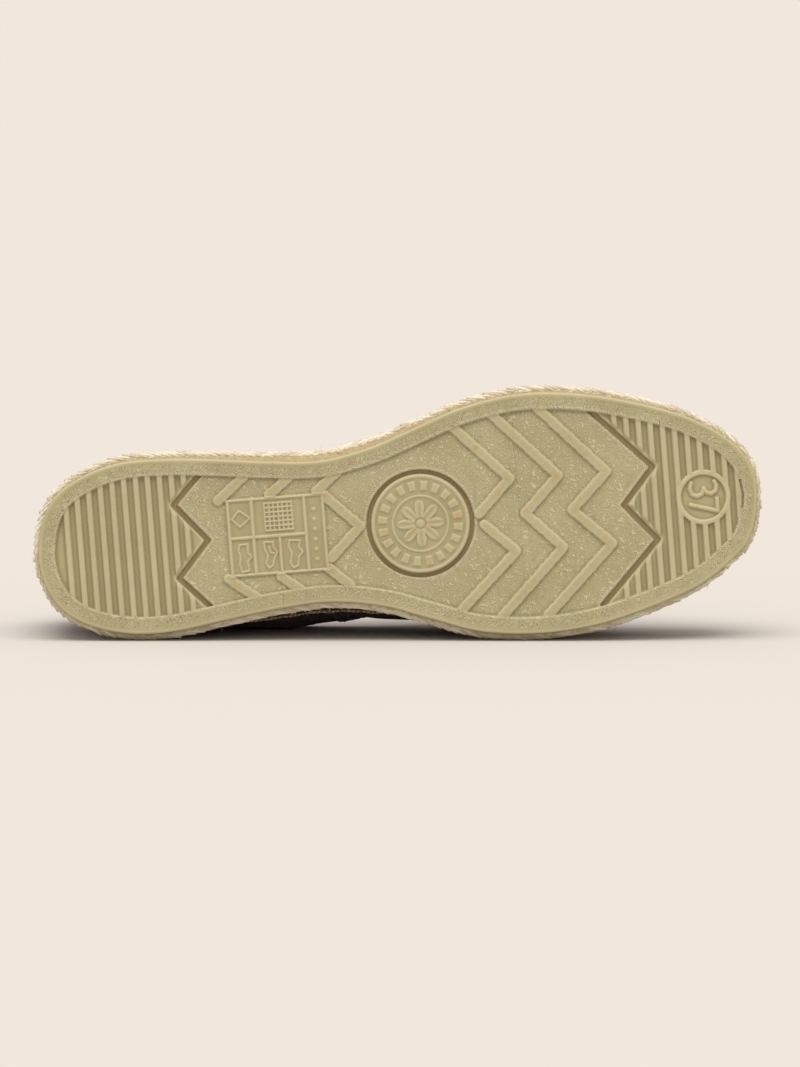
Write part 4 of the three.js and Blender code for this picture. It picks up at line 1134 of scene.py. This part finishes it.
def chained(points, outs, apart):
    """Orders scattered places of one line from the first, each next to the one before, and thins them."""
    left = list(range(1, len(points)))
    order = [0]
    while left:
        gaps = np.linalg.norm(points[left] - points[order[-1]], axis=1)
        nearest = int(np.argmin(gaps))
        if gaps[nearest] > 25:
            break
        following = left.pop(nearest)
        if gaps[nearest] > apart:
            order.append(following)
    return points[order], outs[order]


def make_seams(cloth, material):
    """Fine machine stitches: one row round the hem, two down each lapped seam."""
    halves = []
    for columns in SIDES:
        along = level_line(cloth, "from_edge", 5.6, columns)
        front = columns[cloth["points"][columns, -1, 0] > 0.55 * SOLE_LENGTH]
        throat = across_line(cloth, "from_edge", 5.6, front)
        ahead = throat[0][:, 0] > 0.575 * SOLE_LENGTH
        halves.append(chained(*(np.concatenate([a, b[ahead]]) for a, b in zip(along, throat)), 0.5))
    guides = [guide("hem_row", *(np.concatenate([a, b[::-1]]) for a, b in zip(*halves)))]
    for columns in SIDES:
        for value in (1.6, 4.2):
            guides.append(guide("lap_row", *across_line(cloth, "past_seam", value, columns), closed=False))
    sizes = {"Pitch": 0.0031, "Length": 0.0026, "Width": 0.00062, "Thickness": 0.00055, "Sink": 0.00022,
             "Slant": 0.05, "Unevenness": 0.05, "Rings": 6, "Sides": 6, "Seed": 40}
    tree = strand_tree("SeamStitches", sizes, material)
    return grow("canvas_seams", guides, tree, [{}] * len(guides), material)


def make_binding(cloth, material):
    """Thick hand stitches that tie the canvas down to the rope, over a cord laid along its foot."""
    guides = []
    for name, height, proud in (("upright_row", 3.1, 0.15), ("lying_row", 6.4, 0.1)):
        points, outs = level_line(cloth, "up", height, range(0, 2 * HALF_ROUND), from_top=False)
        guides.append(guide(name, points + outs * proud, outs))
    sizes = {"Pitch": 0.0068, "Length": 0.0078, "Width": 0.0013, "Thickness": 0.0012, "Sink": 0.0007,
             "Slant": math.radians(84), "Unevenness": 0.09, "Rings": 9, "Sides": 7, "Seed": 60}
    lying = {"Length": 0.0072, "Slant": 0.03, "Seed": 61, "Sink": 0.0003, "Width": 0.0011, "Thickness": 0.001}
    tree = strand_tree("BindingStitches", sizes, material)
    return grow("binding_stitches", guides, tree, [{}, lying], material)


def make_sock(material):
    """The sock lining: a cushioned cloth sheet with a sunk line round its border, on the rope's top."""
    angles = np.linspace(0, 2 * np.pi, 320, endpoint=False)
    steps = [(0.0, 0.0), (0.0, 1.5), (-0.3, 2.15), (-0.8, SOCK_THICKNESS), (-2.4, SOCK_THICKNESS),
             (-3.1, 2.12), (-3.8, SOCK_THICKNESS)]
    offset = FEATHER_OFFSET - WALL - SOCK_CLEARANCE
    rings = np.array([level_ring(angles, offset + inset, FOOTBED + GAP + height) for inset, height in steps])
    last = rings[-1]
    centre = (last + last[(len(angles) - np.arange(len(angles))) % len(angles)]) / 2
    for share in np.linspace(0.12, 0.96, 12):
        ring = last * (1 - share) + centre * share
        height = FOOTBED + GAP + SOCK_THICKNESS - 0.35 * math.sin(share * math.pi / 2)
        ring[:, 2] = height + spring(ring[:, 0])
        rings = np.concatenate([rings, ring[None]])
    points = rings.reshape(-1, 3)
    values = {"cloth": points * (1, 1, 0), "crease": np.zeros(len(points))}
    return make_mesh("sock_lining", place(points), solid_faces(rings), material, values)


# Light of the studio: the pale room all round, and one broad soft lamp from above and a little in front
ROOM = srgb(241, 231, 221)
LAMP_POWER = 2.4
LAMP_COLOUR = (1.0, 0.975, 0.94)
LAMP_WAY = Vector((0.02, 0.27, -1.0)).normalized()
LAMP_ANGLE = 52
FLOOR_REACH = 60

# The camera: a long lens that looks at the sole's middle from a little above its own direction
SENSOR = 36
CAMERA_DISTANCE = 1.5
VIEW_WIDTH = 0.272
CAMERA_RISE = 4.16
LOOKED_AT = (123.3, 1.46, 0)


def stage():
    """A pale floor whose tone, under the room and the lamp together, is the room's own."""
    floor_light = [LAMP_POWER * share * -LAMP_WAY.z / math.pi for share in LAMP_COLOUR]
    tone = (*[room / (room + lamp) for room, lamp in zip(ROOM, floor_light)], 1)
    points = [(x, y, 0) for x in (-FLOOR_REACH, FLOOR_REACH) for y in (-FLOOR_REACH, FLOOR_REACH)]
    material, tree, where = new_material("studio_floor")
    soft = between(noise(where, 2.0), 0.3, 0.7, 0.0, 0.5)
    light_tone = (*[share * 1.004 for share in tone[:3]], 1)
    dress(tree, blend(soft, tone, light_tone), 1.0, 0.0)
    floor = make_mesh("studio_floor", points, [(0, 2, 3, 1)], material)

    world = bpy.data.worlds.new("pale_room")
    bpy.context.scene.world = world
    world.use_nodes = True
    world.node_tree.nodes["Background"].inputs[0].default_value = ROOM
    world.node_tree.nodes["Background"].inputs[1].default_value = 1.0
    lamp = bpy.data.lights.new("soft_lamp", "SUN")
    lamp.energy = LAMP_POWER
    lamp.angle = math.radians(LAMP_ANGLE)
    lamp.color = LAMP_COLOUR
    linked("soft_lamp", lamp).rotation_euler = LAMP_WAY.to_track_quat("-Z", "Y").to_euler()


def set_camera():
    level = Vector((-UP[0], -UP[1], 0)).normalized()
    rise = math.radians(CAMERA_RISE)
    towards = level * math.cos(rise) + Vector((0, 0, math.sin(rise)))
    lens = bpy.data.cameras.new("photo_view")
    lens.sensor_fit = "HORIZONTAL"
    lens.sensor_width = SENSOR
    lens.lens = SENSOR * CAMERA_DISTANCE / VIEW_WIDTH
    lens.clip_end = 200
    camera = linked("photo_view", lens)
    camera.location = Vector(place([LOOKED_AT])[0]) + towards * CAMERA_DISTANCE
    camera.rotation_euler = towards.to_track_quat("Z", "Y").to_euler()
    bpy.context.scene.camera = camera


def finish_piece(piece, node_name):
    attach(piece, "root")
    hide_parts(node_name)


set_camera()
stage()
bpy.context.scene.view_settings.view_transform = "Standard"
for part in make_tread(rubber_material()):
    finish_piece(part, "outsole")
jute = jute_material("jute_strand", (234, 227, 207), (200, 186, 153))
jute_fuzz = jute_material("jute_fuzz", (236, 228, 208), (196, 182, 148), streak=False)
core = jute_material("jute_core", (214, 202, 172), (176, 158, 122), streak=False)
finish_piece(make_rope_core(core), "midsole")
finish_piece(make_braid(jute), "midsole")
canvas = weave_material("plum_canvas", (82, 57, 69), (36, 21, 31), 0.7, 0.08, 0.0002)
shell, cloth = canvas_shell(canvas)
finish_piece(shell, "upper")
plum_thread = thread_material("plum_thread", (92, 66, 80), (44, 28, 38))
finish_piece(make_seams(cloth, plum_thread), "upper")
jute_thread = thread_material("jute_thread", (204, 184, 142), (140, 118, 82))
finish_piece(make_binding(cloth, jute_thread), "upper")
finish_piece(make_fuzz(jute_fuzz), "midsole")
sock = weave_material("sock_cotton", (214, 198, 168), (176, 156, 120), 0.5, 0.2)
finish_piece(make_sock(sock), "insole")
